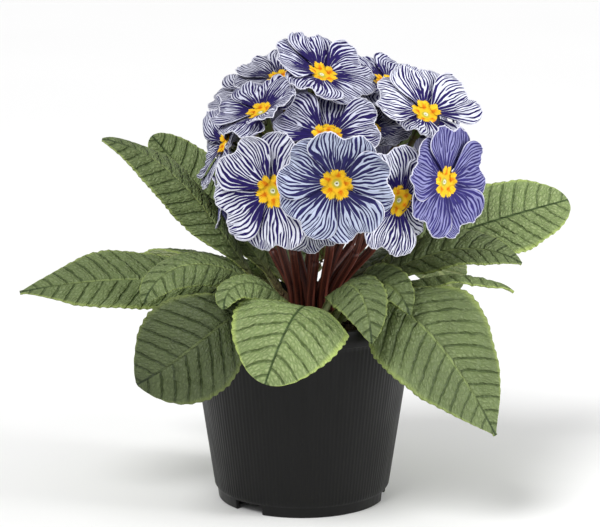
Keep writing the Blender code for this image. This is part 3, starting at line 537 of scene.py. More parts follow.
@dataclass(frozen=True)
class Peat:
    """Dark crumbly peat with paler fibres."""

    dark: Triple = (0.012, 0.008, 0.005)
    brown: Triple = (0.075, 0.046, 0.026)
    fibre: Triple = (0.20, 0.14, 0.08)

    def material(self) -> bpy.types.Material:
        """Returns the finish."""
        g = Graph("peat_crumb")
        place = g.place()
        crumb = g.noise(place, 420.0, 6.0, 0.7)
        fibre_place = g.node("ShaderNodeMapping", {"Vector": place, "Rotation": (0.3, 0.2, 0.7), "Scale": (2600.0, 240.0, 800.0)}).outputs[0]
        fibre = g.noise(fibre_place, 1.0, 1.0)
        colour = g.mix(g.step(crumb, 0.35, 0.66), self.dark, self.brown)
        colour = g.mix(g.step(fibre, 0.72, 0.78, 0.0, 0.8), colour, self.fibre)
        return g.finish(colour, 0.93, g.bump(crumb, 1.2 * MM), Specular_IOR_Level=0.15)


@dataclass(frozen=True)
class CrownBark:
    """The brown and green rootstock under the leaf stalks."""

    brown: Triple = (0.10, 0.055, 0.025)
    green: Triple = (0.14, 0.18, 0.05)

    def material(self) -> bpy.types.Material:
        """Returns the finish."""
        g = Graph("crown_bark")
        place = g.place()
        scales = g.node("ShaderNodeTexVoronoi", {"Vector": place, "Scale": 240.0}).outputs[0]
        blotch = g.noise(place, 160.0, 4.0)
        colour = g.mix(g.step(blotch, 0.4, 0.65), self.brown, self.green)
        colour = g.mix(g.step(scales, 0.3, 0.8, 0.0, 0.7), colour, tuple(0.3 * c for c in self.brown))
        return g.finish(colour, 0.7, g.bump(scales, 0.8 * MM), Specular_IOR_Level=0.3)


def show(bm: bmesh.types.BMesh, name: str, finishes: list[bpy.types.Material]) -> bpy.types.Object:
    """Turns a finished bmesh into an object of the scene.

    Args:
        bm: The shape, which is freed.
        name: The object's name.
        finishes: Its materials, in the order of the faces' numbers.

    Returns:
        The object, at the origin.
    """
    mesh = bpy.data.meshes.new(name)
    bm.to_mesh(mesh)
    bm.free()
    mesh.shade_smooth()
    for finish in finishes:
        mesh.materials.append(finish)
    piece = bpy.data.objects.new(name, mesh)
    bpy.context.scene.collection.objects.link(piece)
    return piece


def settle(piece: bpy.types.Object, slot: str, *nodes: str) -> None:
    """Puts a piece in the place of the part's nodes.

    Args:
        piece: The dressed piece.
        slot: Not used.
        nodes: The nodes that it stands for.
    """
    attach(piece, BODY)
    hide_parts(*nodes)
    log.info("%s: %d faces", piece.name, len(piece.data.polygons))


def grid(
    bm: bmesh.types.BMesh, columns: int, rows: int, layer: str, place: Callable[[float, float], Vector]
) -> list[bmesh.types.BMVert]:
    """Adds a sheet whose corners are placed by a rule.

    Args:
        bm: The shape that it is added to.
        columns: How many faces it has across.
        rows: How many it has from root to tip.
        layer: The map that keeps where each corner was, both from 0 to 1.
        place: Gives a corner's point, from across (-1 to 1) and out (0 to 1).

    Returns:
        The sheet's corners.
    """
    made = bmesh.ops.create_grid(bm, x_segments=columns, y_segments=rows, size=1)["verts"]
    uv = bm.loops.layers.uv.get(layer) or bm.loops.layers.uv.new(layer)
    faces = {face for vert in made for face in vert.link_faces}
    for face in faces:
        for loop in face.loops:
            loop[uv].uv = ((loop.vert.co.x + 1) / 2, (loop.vert.co.y + 1) / 2)
    for vert in made:
        vert.co = place(vert.co.x, (vert.co.y + 1) / 2)
    return made


@dataclass
class Bloom:
    """One flower: five striped petals round a throat. It takes the bend of each petal from its CAD node."""

    name: str
    eye: Triple
    face: tuple[float, float]
    turn: float
    size: float
    cup: float
    flare: float
    tone: Tone = Tone.DEEP
    plain: bool = False
    petals: int = 5
    reach: float = 25.5 * MM
    root: float = 3.4 * MM
    root_half_width: float = 2.4 * MM
    half_width: float = 14.6 * MM
    overlap_lift: float = 1.3 * MM
    ruffle: float = 0.7 * MM
    trough: float = 1.2 * MM
    notch: float = 0.11
    thickness: float = 0.36 * MM
    cad_thickness: float = 0.7 * MM
    cad_rows: tuple[float, ...] = (0.42, 0.76, 1.0)
    plain_cad_rows: tuple[float, ...] = (0.5, 1.0)
    bends: range = range(-49, 50, 7)
    shares: tuple[float, ...] = (1.0, 0.92, 0.84, 0.76, 0.68, 0.6)
    settled: list[tuple[float, float]] = field(default_factory=list)

    @property
    def node(self) -> str:
        """Returns the name of the bloom's CAD node."""
        return "bloom_" + self.name

    @property
    def place(self) -> Matrix:
        """Returns the bloom's place: its eye at the origin, its face along +Z and its top along +Y."""
        bearing, rise = self.face
        facing = outward(bearing) * math.cos(math.radians(rise))
        facing.z = math.sin(math.radians(rise))
        turned = facing.to_track_quat("Z", "Y").to_matrix().to_4x4()
        return Matrix.Translation(Vector(self.eye) * MM) @ turned @ Matrix.Scale(self.size, 4)

    def clock(self, number: int) -> Matrix:
        """Returns the turn that brings +X to the middle of a petal."""
        return Matrix.Rotation(math.radians(90 - self.turn - 360 / self.petals * number), 3, "Z")

    def side_lift(self, number: int, across: float) -> float:
        """Returns 1 where a petal's side lies above its neighbour, and -1 where it lies below."""
        neighbour = (number + (-1 if across > 0 else 1)) % self.petals
        difference = self.settled[number][0] - self.settled[neighbour][0]
        return math.copysign(1, difference if difference else across)

    def sheet(self, number: int, out: float, across: float, level: float) -> Vector:
        """Gives a point of a petal in the bloom's own frame.

        Args:
            number: Which petal.
            out: From its root, 0, to its tip, 1.
            across: From -1 to 1.
            level: How far above the middle of its thickness.

        Returns:
            The point.
        """
        bend, share = self.settled[number]
        lobe = 1 - self.notch * math.exp(-((across / 0.3) ** 2)) - 0.18 * abs(across) ** 3
        length = (self.reach * lobe - self.root) * out * share
        swell = math.sin(math.pi / 2 * min(1, out / 0.74)) ** 1.35
        half = self.root_half_width + (self.half_width - self.root_half_width) * swell * (0.5 + 0.5 * share)
        half *= 1 - 0.12 * max(0, (out - 0.74) / 0.26) ** 2
        start = math.radians(self.cup + bend)
        turn = math.radians(self.flare + 0.4 * bend) / self.reach
        reach, rise = arc(length, start, turn)
        end = start - turn * length
        lift = self.side_lift(number, across)
        bump = level + self.overlap_lift * lift * abs(across) ** 1.3 * (0.4 + 0.6 * min(1, out / 0.38))
        bump += self.ruffle * out * out * math.sin(4.2 * across + 2.1 * number + 0.13 * self.turn)
        bump += self.trough * out * abs(across) ** 1.6
        point = Vector((self.root + reach - bump * math.sin(end), half * across, rise + bump * math.cos(end)))
        return self.clock(number) @ point

    def crinkled(self, number: int, out: float, across: float) -> Vector:
        """Gives a point of a petal with the fine crinkles of its rim."""
        seed = 3.7 * number + 0.31 * self.turn + self.eye[0]
        rim = smooth_step(out, 0.6, 1.0)
        edge = max(rim, smooth_step(abs(across), 0.7, 1.0) * smooth_step(out, 0.3, 0.7))
        flutter = noise.noise(Vector((4.5 * across, 2.2 * out, seed)))
        pleat = noise.noise(Vector((13 * across, 1.6 * out, seed + 5)))
        level = (1.6 * flutter * edge + 0.4 * pleat * smooth_step(out, 0.2, 0.8)) * MM
        nibble = 1 + rim * (0.028 * noise.noise(Vector((9 * across, seed, 0))) + 0.018 * noise.noise(Vector((26 * across, seed, 2))))
        return self.sheet(number, out * nibble, across, level)

    def read_bends(self) -> None:
        """Finds each petal's bend and length from the corners of the bloom's CAD node."""
        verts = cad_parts[self.node].data.vertices
        tree = kdtree.KDTree(len(verts))
        for index, vert in enumerate(verts):
            tree.insert(vert.co, index)
        tree.balance()
        rows = self.plain_cad_rows if self.plain else self.cad_rows
        self.settled = [(0.0, 1.0)] * self.petals
        for number in range(self.petals):
            best = math.inf
            for bend in self.bends:
                for share in self.shares:
                    tried = self.settled[:number] + [(bend, share)] + self.settled[number + 1:]
                    kept, self.settled = self.settled, tried
                    spots = [self.place @ self.sheet(number, out, 0, self.cad_thickness / 2) for out in rows]
                    miss = sum(tree.find(spot)[2] for spot in spots)
                    if miss < best:
                        best = miss
                    else:
                        self.settled = kept

    def throat(self, bm: bmesh.types.BMesh) -> None:
        """Adds the funnel between the petals and the tube below it."""
        uv = bm.loops.layers.uv["petal"]
        profile = [
            (7.0, -1.5), (5.4, -0.5), (4.6, 0.15), (3.6, -0.3), (2.6, -0.75), (1.7, -0.9), (1.2, -0.6),
            (0.85, -0.5), (0.6, -0.75), (0.55, -2.0), (1.0, -8.0),
        ]
        verts = [bm.verts.new((radius * MM, 0, level * MM)) for radius, level in profile]
        edges = [bm.edges.new(pair) for pair in zip(verts, verts[1:])]
        petals = set(bm.faces)
        bmesh.ops.spin(
            bm, geom=[*verts, *edges], cent=(0, 0, 0), axis=(0, 0, 1), angle=2 * math.pi, steps=40, use_merge=True,
        )
        middle = math.radians(90 - self.turn)
        for face in (face for face in bm.faces if face not in petals):
            face.material_index = 2
            for loop in face.loops:
                radius = loop.vert.co.xy.length / MM
                angle = math.atan2(loop.vert.co.y, loop.vert.co.x) - middle
                loop[uv].uv = (abs(math.sin(angle * self.petals / 2)), radius / profile[2][0])

    def build(self, faces: dict[Tone, bpy.types.Material], back: bpy.types.Material, throat: bpy.types.Material) -> None:
        """Builds the bloom and puts it in the place of its node.

        Args:
            faces: The finish of the petals' upper side, by tone.
            back: The finish of their underside.
            throat: The finish of the eye.
        """
        self.read_bends()
        bm = bmesh.new()
        seed = bm.verts.layers.float.new("seed")
        columns, rows = (20, 16) if self.plain else (34, 26)
        for number in range(self.petals):
            made = grid(bm, columns, rows, "petal", lambda across, out, n=number: self.crinkled(n, out, across))
            for vert in made:
                vert[seed] = 7.3 * number + self.eye[0]
        petals = bm.faces[:]
        self.throat(bm)
        bmesh.ops.transform(bm, matrix=self.place, verts=bm.verts[:])
        bmesh.ops.recalc_face_normals(bm, faces=[face for face in bm.faces if face.material_index == 2])
        facing = self.place.to_3x3() @ Vector((0, 0, 1))
        bm.normal_update()
        for face in petals:
            if face.normal.dot(facing) < 0:
                face.normal_flip()
        piece = show(bm, self.node + "_petals", [faces[self.tone], back, throat])
        thick = piece.modifiers.new("Thickness", "SOLIDIFY")
        thick.thickness = self.thickness
        thick.offset = 0
        thick.material_offset = 1
        thick.material_offset_rim = 0
        settle(piece, "petal", self.node)


@dataclass
class Leaf:
    """One leaf: a channelled stalk that opens into a quilted blade with a frilled margin."""

    name: str
    foot: float
    width: float
    widest: float
    blunt: float
    fold: float
    curl: float
    face: Triple
    wave: float
    phase: float
    rib: tuple[Triple, Triple, Triple]
    stalk: float = 0.2
    # painted light and shade: above 1 the leaf is painted brighter as if well lit, below 1 darker as if in shade
    painted_lighting: float = 1.0
    crown_centre: Triple = (5 * MM, -1 * MM, 84.5 * MM)
    crown_reach: float = 12.4 * MM
    stalk_half_width: float = 1.85 * MM
    tip_half_width: float = 0.9 * MM
    thickness: float = 0.75 * MM
    stalk_depth: float = 1.9 * MM
    vein_spacing: float = 6.6 * MM

    def course(self) -> Course:
        """Returns the curve of the midrib, from the crown's side."""
        foot = Vector(self.crown_centre) + outward(self.foot) * self.crown_reach
        return Course((foot, *(Vector(p) * MM for p in self.rib)))

    def half_width(self, share: float) -> float:
        """Returns half the leaf's width at a share of its length."""
        full = self.width * MM
        if share <= self.stalk:
            return self.stalk_half_width
        along = (share - self.stalk) / (1 - self.stalk)
        if along < self.widest:
            swell = math.sin(math.pi / 2 * along / self.widest) ** 1.2
            return self.stalk_half_width + (full - self.stalk_half_width) * swell
        rest = (along - self.widest) / (1 - self.widest)
        return max(self.tip_half_width, full * math.cos(math.pi / 2 * rest) ** self.blunt)

    def vein_rank(self, course: Course, share: float, across: float) -> float:
        """Returns the number of the side vein at a place, which is whole on the vein itself."""
        length = course.length * (1 - self.stalk)
        along = (share - self.stalk) / (1 - self.stalk)
        sweep = 0.62 * self.half_width(share) * abs(across) ** 1.25 / length
        return (along - sweep) * length / self.vein_spacing + (0.5 if across > 0 else 0)

    def surface(self, course: Course, share: float, across: float) -> tuple[Vector, Vector]:
        """Gives a point of the blade's middle and the way out of its upper side.

        Args:
            course: The midrib's curve.
            share: From the foot, 0, to the tip, 1.
            across: From -1 to 1.

        Returns:
            The point and the unit normal.
        """
        point, along = course.along(share)
        stalk_faces = Vector((0, 0, 1)) - outward(self.foot) * 0.6
        ease = smooth_step(share, 0, 0.55)
        up = stalk_faces.normalized().lerp(Vector(self.face).normalized(), ease)
        up = (up - along * up.dot(along)).normalized()
        side = up.cross(along)
        width = self.half_width(share)
        opened = min(1, width / (self.width * MM))
        fold, curl = math.radians(self.fold) * opened, math.radians(self.curl) * opened
        reach, rise = arc(abs(across), fold, curl)
        wave = self.wave * MM * across**2 * opened
        wave *= math.sin(19 * share + self.phase + (1.4 if across > 0 else 0))
        outside = math.copysign(1, across) if across else 0
        slope = fold - curl * abs(across)
        normal = up * math.cos(slope) - side * (outside * math.sin(slope))
        return point + side * (outside * reach * width) + up * (rise * width) + normal * wave, normal

    def quilted(self, course: Course, out: float, across: float, under: bool) -> Vector:
        """Gives a point of one side of the leaf, with its sunk veins and bulged cells.

        Args:
            course: The midrib's curve.
            out: From the foot, 0, to the tip, 1.
            across: From -1 to 1.
            under: Whether it is the underside.

        Returns:
            The point.
        """
        share = 1 - (1 - out) ** 1.15
        width = self.half_width(share)
        opened = min(1, width / (self.width * MM))
        seed = self.foot * 0.37
        rim = smooth_step(abs(across), 0.86, 1.0) * opened
        teeth = 0.35 * MM * math.sin(1.7 * course.length / MM * share + 2 * across) * rim
        teeth += 0.9 * MM * noise.noise(Vector((14 * share, across, seed))) * rim
        point, normal = self.surface(course, share, across * (1 + teeth / width))
        rank = self.vein_rank(course, share, across)
        rank += 0.22 * noise.noise(Vector((rank, 3 * across, seed)))
        from_vein = abs((rank + 0.5) % 1 - 0.5)
        inner = smooth_step(abs(across), 0.02, 0.22) * (1 - 0.7 * smooth_step(abs(across), 0.75, 1.0)) * opened
        groove = (1 - smooth_step(from_vein, 0.0, 0.22)) * inner
        rib = (1 - smooth_step(abs(across) * width, 0.2 * MM, 1.5 * MM)) * opened
        cells = noise.noise(Vector((2.6 * rank, 12 * across, seed))) * inner
        ripple = noise.noise(Vector((course.length / MM * share * 0.9, 22 * across, seed + 3))) * inner
        relief = (-0.9 * groove - 0.7 * rib + 0.7 * cells + 0.4 * ripple + 0.2) * MM
        if not under:
            return point + normal * relief
        keel = 1 - smooth_step(abs(across) * width, 0, 1.7 * MM)
        depth = self.thickness + self.stalk_depth * keel * (1 - share) ** 1.5 + 0.5 * MM * keel
        return point + normal * (relief - depth)

    def build(self, face: bpy.types.Material, back: bpy.types.Material) -> None:
        """Builds the leaf and puts it in the place of its node.

        Args:
            face: The finish of its upper side.
            back: The finish of its underside.
        """
        course = self.course()
        columns, rows = (60, 124) if self.width > 15 else (32, 76)
        bm = bmesh.new()
        seed = bm.verts.layers.float.new("seed")
        veins = bm.loops.layers.uv.new("veins")
        tops = grid(bm, columns, rows, "blade", lambda across, out: self.quilted(course, out, across, False))
        top_faces = set(bm.faces)
        rims = [edge for edge in bm.edges if edge.is_boundary]
        grid(bm, columns, rows, "blade", lambda across, out: self.quilted(course, out, across, True))
        rims += [edge for edge in bm.edges if edge.is_boundary and edge.verts[0] not in set(tops)]
        blade = bm.loops.layers.uv["blade"]
        for item in bm.faces:
            item.material_index = 0 if item in top_faces else 1
            for loop in item.loops:
                across, out = loop[blade].uv[0] * 2 - 1, loop[blade].uv[1]
                share = 1 - (1 - out) ** 1.15
                loop[veins].uv = (self.vein_rank(course, share, across), abs(across) * self.half_width(share) / (20 * MM))
        bmesh.ops.bridge_loops(bm, edges=rims)
        # each corner carries the leaf's painted light and shade
        painted_lighting = bm.verts.layers.float.new("painted_lighting")
        for vert in bm.verts:
            vert[seed] = self.foot * 0.1
            vert[painted_lighting] = self.painted_lighting
        bmesh.ops.recalc_face_normals(bm, faces=bm.faces[:])
        piece = show(bm, self.name + "_blade", [face, back])
        settle(piece, "blade", self.name)


@dataclass
class Scape:
    """One flower stalk, its forks, and the calyx behind each of its blooms."""

    name: str
    foot: tuple[float, float]
    blooms: tuple[str, ...]
    buds: tuple[tuple[Triple, Triple], ...] = ()
    crown_top: Triple = (5 * MM, -1 * MM, 88.4 * MM)
    fork_share: float = 0.5
    radius: float = 2.3 * MM
    branch_radius: float = 1.35 * MM
    sides: int = 12
    calyx_rim: float = 6 * MM
    calyx_end: float = 17.5 * MM
    calyx_radius: float = 3.1 * MM
    bud_radius: float = 2.1 * MM
    bud_length: float = 12 * MM
    bud_stalk_share: float = 0.3

    def tube(self, bm: bmesh.types.BMesh, points: tuple[Vector, ...], radii: tuple[float, float], reach: tuple[float, float]) -> None:
        """Adds a stalk along a curve.

        Args:
            bm: The shape that it is added to.
            points: The four points of its curve.
            radii: Its radius at its foot and at its end.
            reach: What the map says at its foot and at its end.
        """
        uv = bm.loops.layers.uv["stalk"]
        course = Course(points)
        steps = max(8, int(course.length / (2.2 * MM)))
        sideways = course.along(0)[1].orthogonal().normalized()
        rings: list[list[bmesh.types.BMVert]] = []
        start = bmesh.ops.create_circle(bm, cap_ends=False, segments=self.sides, radius=1)["verts"]
        edges = list({edge for vert in start for edge in vert.link_edges})
        ring = start
        for k in range(steps + 1):
            share = k / steps
            point, along = course.along(share)
            sideways = (sideways - along * sideways.dot(along)).normalized()
            other = along.cross(sideways)
            radius = radii[0] + (radii[1] - radii[0]) * share
            if k:
                made = bmesh.ops.extrude_edge_only(bm, edges=edges)["geom"]
                ring = [item for item in made if isinstance(item, bmesh.types.BMVert)]
                edges = [item for item in made if isinstance(item, bmesh.types.BMEdge)]
            ordered = self.in_order(ring, edges)
            for n, vert in enumerate(ordered):
                angle = 2 * math.pi * n / self.sides
                knob = 1 + 0.07 * noise.noise(Vector((3 * math.cos(angle), 3 * math.sin(angle), 14 * share + self.foot[0])))
                vert.co = point + (sideways * math.cos(angle) + other * math.sin(angle)) * radius * knob
            rings.append(ordered)
        for k, (low, high) in enumerate(zip(rings, rings[1:])):
            for face in {f for vert in high for f in vert.link_faces} & {f for vert in low for f in vert.link_faces}:
                for loop in face.loops:
                    at = low if loop.vert in low else high
                    level = (k + (at is high)) / steps
                    turn = at.index(loop.vert) / self.sides
                    loop[uv].uv = (turn, reach[0] + (reach[1] - reach[0]) * level)
        for end in (rings[0], rings[-1]):
            bmesh.ops.contextual_create(bm, geom=end)

    def in_order(self, ring: list[bmesh.types.BMVert], edges: list[bmesh.types.BMEdge]) -> list[bmesh.types.BMVert]:
        """Returns a ring's corners one after another round the ring, from the lowest numbered.

        Args:
            ring: The corners.
            edges: The edges between them.

        Returns:
            The corners in order.
        """
        own = set(edges)
        ordered = [ring[0]]
        while len(ordered) < len(ring):
            for edge in ordered[-1].link_edges:
                other = edge.other_vert(ordered[-1])
                if edge in own and other not in ordered[-2:]:
                    ordered.append(other)
                    break
        return ordered

    def calyx(self, bm: bmesh.types.BMesh, place: Matrix) -> None:
        """Adds the ribbed cup behind a bloom, with five pointed teeth."""
        uv = bm.loops.layers.uv["stalk"]
        count = 40
        profile = [
            (0.0, -1.0), (0.30, -1.0), (0.62, -0.86), (0.86, -0.66), (1.0, -0.45), (1.02, -0.36), (1.06, -0.345),
            (0.92, -0.345), (0.80, -0.40), (0.62, -0.7), (0.0, -0.7),
        ]
        before = set(bm.verts)
        verts = [bm.verts.new((self.calyx_radius * radius, 0, self.calyx_end * level)) for radius, level in profile]
        edges = [bm.edges.new(pair) for pair in zip(verts, verts[1:])]
        geom = [*verts, *edges]
        bmesh.ops.spin(bm, geom=geom, cent=(0, 0, 0), axis=(0, 0, 1), angle=2 * math.pi, steps=count, use_merge=True)
        made = [vert for vert in bm.verts if vert not in before]
        bmesh.ops.remove_doubles(bm, verts=made, dist=0.01 * MM)
        made = [vert for vert in bm.verts if vert not in before]
        for vert in made:
            angle = math.atan2(vert.co.y, vert.co.x)
            ridge = math.cos(5 * angle)
            level = vert.co.z / self.calyx_end
            high = smooth_step(level, -0.42, -0.34)
            vert.co.z += high * 1.9 * MM * (abs(math.cos(2.5 * angle)) ** 1.4 * 2 - 1)
            vert.co.xy *= 1 + 0.08 * ridge * smooth_step(level, -0.95, -0.6)
        faces = {face for vert in made for face in vert.link_faces}
        for face in faces:
            face.material_index = 1
            for loop in face.loops:
                turn = math.atan2(loop.vert.co.y, loop.vert.co.x) / (2 * math.pi) % 1
                loop[uv].uv = (turn, 1 + loop.vert.co.z / self.calyx_end)
        bmesh.ops.transform(bm, matrix=place, verts=made)

    def bud(self, bm: bmesh.types.BMesh, foot: Vector, facing: Vector) -> None:
        """Adds a closed bud in its ribbed calyx."""
        uv = bm.loops.layers.uv["stalk"]
        profile = [
            (0.0, 0), (0.3, 0), (0.75, 0.08), (0.98, 0.3), (1.0, 0.45), (0.8, 0.62), (0.55, 0.8), (0.2, 0.97), (0.0, 1),
        ]
        old = set(bm.verts)
        verts = [bm.verts.new((self.bud_radius * radius, 0, self.bud_length * level)) for radius, level in profile]
        edges = [bm.edges.new(pair) for pair in zip(verts, verts[1:])]
        bmesh.ops.spin(
            bm, geom=[*verts, *edges], cent=(0, 0, 0), axis=(0, 0, 1), angle=2 * math.pi, steps=30, use_merge=True,
        )
        made = [vert for vert in bm.verts if vert not in old]
        bmesh.ops.remove_doubles(bm, verts=made, dist=0.01 * MM)
        made = [vert for vert in bm.verts if vert not in old]
        for vert in made:
            angle = math.atan2(vert.co.y, vert.co.x)
            vert.co.xy *= 1 - 0.12 * abs(math.sin(2.5 * angle)) ** 3
        for face in {face for vert in made for face in vert.link_faces}:
            face.material_index = 1
            for loop in face.loops:
                turn = math.atan2(loop.vert.co.y, loop.vert.co.x) / (2 * math.pi) % 1
                loop[uv].uv = (turn, loop.vert.co.z / self.bud_length)
        place = Matrix.Translation(foot) @ facing.to_track_quat("Z", "Y").to_matrix().to_4x4()
        bmesh.ops.transform(bm, matrix=place, verts=made)

    def build(self, skin: bpy.types.Material, calyx_skin: bpy.types.Material, table: dict[str, Bloom]) -> None:
        """Builds the stalk and puts it in the place of its node.

        Args:
            skin: The finish of the stalks.
            calyx_skin: The finish of the calyxes.
            table: All blooms by name.
        """
        bearing, distance = self.foot
        foot = Vector(self.crown_top) + outward(bearing) * distance * MM
        places = [table[name].place for name in self.blooms]
        ends = [place @ Vector((0, 0, 2 * MM - self.calyx_end)) for place in places]
        middle = sum(ends, Vector()) / len(ends)
        fork = foot.lerp(middle, self.fork_share)
        fork.z = foot.z + (min(end.z for end in ends) - foot.z) * self.fork_share
        lean = (fork - foot).normalized()
        rise = (fork - foot).length / 3
        bm = bmesh.new()
        bm.loops.layers.uv.new("stalk")
        stem = (foot, foot + Vector((0, 0, rise)), fork - lean * rise, fork)
        self.tube(bm, stem, (self.radius, self.radius * 0.85), (0.0, 0.5))
        for place, end in zip(places, ends):
            facing = (place.to_3x3() @ Vector((0, 0, 1))).normalized()
            reach = (end - fork).length / 2.4
            start = fork - lean * 1.5 * MM
            points = (start, start + lean * reach, end - facing * reach, end)
            self.tube(bm, points, (self.branch_radius * 1.1, self.branch_radius), (0.5, 1.0))
            self.calyx(bm, place)
        for bud, direction in self.buds:
            start, along = Course(stem).along(self.bud_stalk_share)
            end, facing = Vector(bud) * MM, Vector(direction).normalized()
            reach = (end - start).length / 3
            points = (start, start + along * reach, end - facing * reach, end + facing * 1 * MM)
            self.tube(bm, points, (self.branch_radius, self.branch_radius * 0.7), (0.6, 1.0))
            self.bud(bm, end, facing)
        bmesh.ops.recalc_face_normals(bm, faces=bm.faces[:])
        piece = show(bm, self.name + "_stalk", [skin, calyx_skin])
        settle(piece, "stem", self.name)


@dataclass
class Pot:
    """The nursery pot: finely ribbed wall, plain lip, raised floor and a notched foot."""

    height: float = 89 * MM
    rim_radius: float = 52.5 * MM
    foot_radius: float = 39 * MM
    wall: float = 1.3 * MM
    lip_height: float = 8 * MM
    lip_step: float = 1.2 * MM
    foot_height: float = 4.7 * MM
    foot_width: float = 3 * MM
    ribs: int = 150
    rib_depth: float = 0.17 * MM
    notch_bearings: tuple[float, ...] = (-39, 81, 201)
    notch_width: float = 15 * MM

    def wall_radius(self, height: float) -> float:
        """Returns the wall's outer radius at a height."""
        share = (height - self.foot_height) / (self.height - self.lip_height - self.foot_height)
        low = self.foot_radius + 1 * MM
        return low + (self.rim_radius - self.lip_step - low) * share

    def build(self, finish: bpy.types.Material) -> None:
        """Builds the pot and puts it in the place of its node."""
        lip = self.height - self.lip_height
        floor = self.foot_height
        inner_foot = self.wall_radius(floor) - self.wall - 1 * MM
        under = self.foot_radius - self.foot_width
        profile = [
            (0, floor), (under, floor), (under, 0.4 * MM), (under + 0.4 * MM, 0), (self.foot_radius - 1 * MM, 0),
            (self.foot_radius - 0.5 * MM, 0.5 * MM), (self.foot_radius, floor),
            (self.wall_radius(floor + 1 * MM) - 0.8 * MM, floor + 0.4 * MM),
            (self.wall_radius(floor + 2 * MM) - 0.1 * MM, floor + 1.6 * MM),
            (self.wall_radius(floor + 4 * MM), floor + 4 * MM),
            (self.wall_radius(lip - 2 * MM), lip - 2 * MM), (self.wall_radius(lip), lip - 0.3 * MM),
            (self.rim_radius - 0.7 * MM, lip + 0.1 * MM), (self.rim_radius - 0.3 * MM, lip + 0.6 * MM),
            (self.rim_radius, self.height - 0.6 * MM), (self.rim_radius - 0.4 * MM, self.height),
            (self.rim_radius - self.wall + 0.3 * MM, self.height),
            (self.rim_radius - self.wall, self.height - 0.5 * MM),
            (inner_foot, floor + self.wall), (0, floor + self.wall),
        ]
        bm = bmesh.new()
        verts = [bm.verts.new((radius, 0, level)) for radius, level in profile]
        edges = [bm.edges.new(pair) for pair in zip(verts, verts[1:])]
        bmesh.ops.spin(
            bm, geom=[*verts, *edges], cent=(0, 0, 0), axis=(0, 0, 1), angle=2 * math.pi,
            steps=4 * self.ribs, use_merge=True,
        )
        bmesh.ops.remove_doubles(bm, verts=bm.verts[:], dist=0.01 * MM)
        for vert in bm.verts:
            radius = vert.co.xy.length
            on_wall = floor + 1 * MM < vert.co.z < lip - 0.2 * MM and radius > self.wall_radius(vert.co.z) - 1 * MM
            if on_wall:
                angle = math.atan2(vert.co.y, vert.co.x)
                valley = 0.5 - 0.5 * math.cos(self.ribs * angle)
                vert.co.xy *= 1 - self.rib_depth * valley / radius
        bmesh.ops.recalc_face_normals(bm, faces=bm.faces[:])
        piece = show(bm, "pot_shell", [finish])
        for number, bearing in enumerate(self.notch_bearings):
            self.cut_notch(piece, number, bearing)
        settle(piece, "pot_plastic", "pot")

    def cut_notch(self, piece: bpy.types.Object, number: int, bearing: float) -> None:
        """Cuts one drain notch through the foot.

        Args:
            piece: The pot.
            number: Which notch.
            bearing: Where it lies.
        """
        depth = 15 * MM
        bm = bmesh.new()
        place = Matrix.Rotation(math.radians(bearing), 4, "Z")
        place @= Matrix.Translation((0, -(self.foot_radius + 6 * MM - depth / 2), 0))
        place @= Matrix.Diagonal((self.notch_width, depth, 2 * self.foot_height - 0.2 * MM, 1))
        bmesh.ops.create_cube(bm, size=1, matrix=place)
        tool = show(bm, f"notch_tool_{number}", [])
        cut = piece.modifiers.new("Notch", "BOOLEAN")
        cut.operation = "DIFFERENCE"
        cut.object = tool
        cut.solver = "EXACT"
        bpy.context.view_layer.update()
        graph = bpy.context.evaluated_depsgraph_get()
        mesh = bpy.data.meshes.new_from_object(piece.evaluated_get(graph))
        piece.modifiers.clear()
        piece.data = mesh
        bpy.data.objects.remove(tool)


@dataclass
class Bed:
    """The peat in the pot, in which the crown stands."""

    level: float = 78 * MM
    mound: float = 3 * MM
    rim_radius: float = 52.5 * MM
    outer: float = 48.2 * MM
    crumbs: int = 420

    def height(self, x: float, y: float) -> float:
        """Returns the surface's height at a place."""
        raised = self.mound * max(0, 1 - math.hypot(x, y) / self.rim_radius)
        lumps = 0.8 * MM * math.sin(190 * x + 1.3) * math.cos(170 * y - 0.4)
        return self.level + raised + lumps

    def build(self, peat: bpy.types.Material) -> None:
        """Builds the peat with its crumbs and puts it in the place of its node."""
        chance = random.Random(5)
        bm = bmesh.new()
        bmesh.ops.create_circle(bm, cap_ends=True, segments=72, radius=self.outer)
        for _ in range(9):
            inner = [face for face in bm.faces if face.calc_center_median().xy.length < 0.2 * self.outer]
            bmesh.ops.inset_region(bm, faces=inner, thickness=self.outer / 10)
        for vert in bm.verts:
            vert.co.z = self.height(*vert.co.xy) + 0.9 * MM * noise.noise(Vector((*vert.co.xy, 0)) * 260)
        skirt = bmesh.ops.extrude_edge_only(bm, edges=[edge for edge in bm.edges if edge.is_boundary])["geom"]
        for vert in (item for item in skirt if isinstance(item, bmesh.types.BMVert)):
            vert.co = Vector((*(vert.co.xy * 0.93), self.level - 10 * MM))
        bmesh.ops.holes_fill(bm, edges=[edge for edge in bm.edges if edge.is_boundary])
        for _ in range(self.crumbs):
            angle, reach = chance.uniform(0, 2 * math.pi), self.outer * math.sqrt(chance.uniform(0.06, 0.94))
            x, y = reach * math.cos(angle), reach * math.sin(angle)
            size = chance.uniform(0.5, 1.5) * MM
            place = Matrix.Translation((x, y, self.height(x, y) + 0.3 * size))
            place @= Matrix.Rotation(chance.uniform(0, 6), 4, Vector((chance.random(), chance.random(), 1)))
            place @= Matrix.Diagonal((size, size * chance.uniform(0.5, 0.9), size * chance.uniform(0.4, 0.8), 1))
            bmesh.ops.create_icosphere(bm, subdivisions=1, radius=1, matrix=place)
        bmesh.ops.recalc_face_normals(bm, faces=bm.faces[:])
        piece = show(bm, "peat_bed", [peat])
        settle(piece, "peat", "soil")


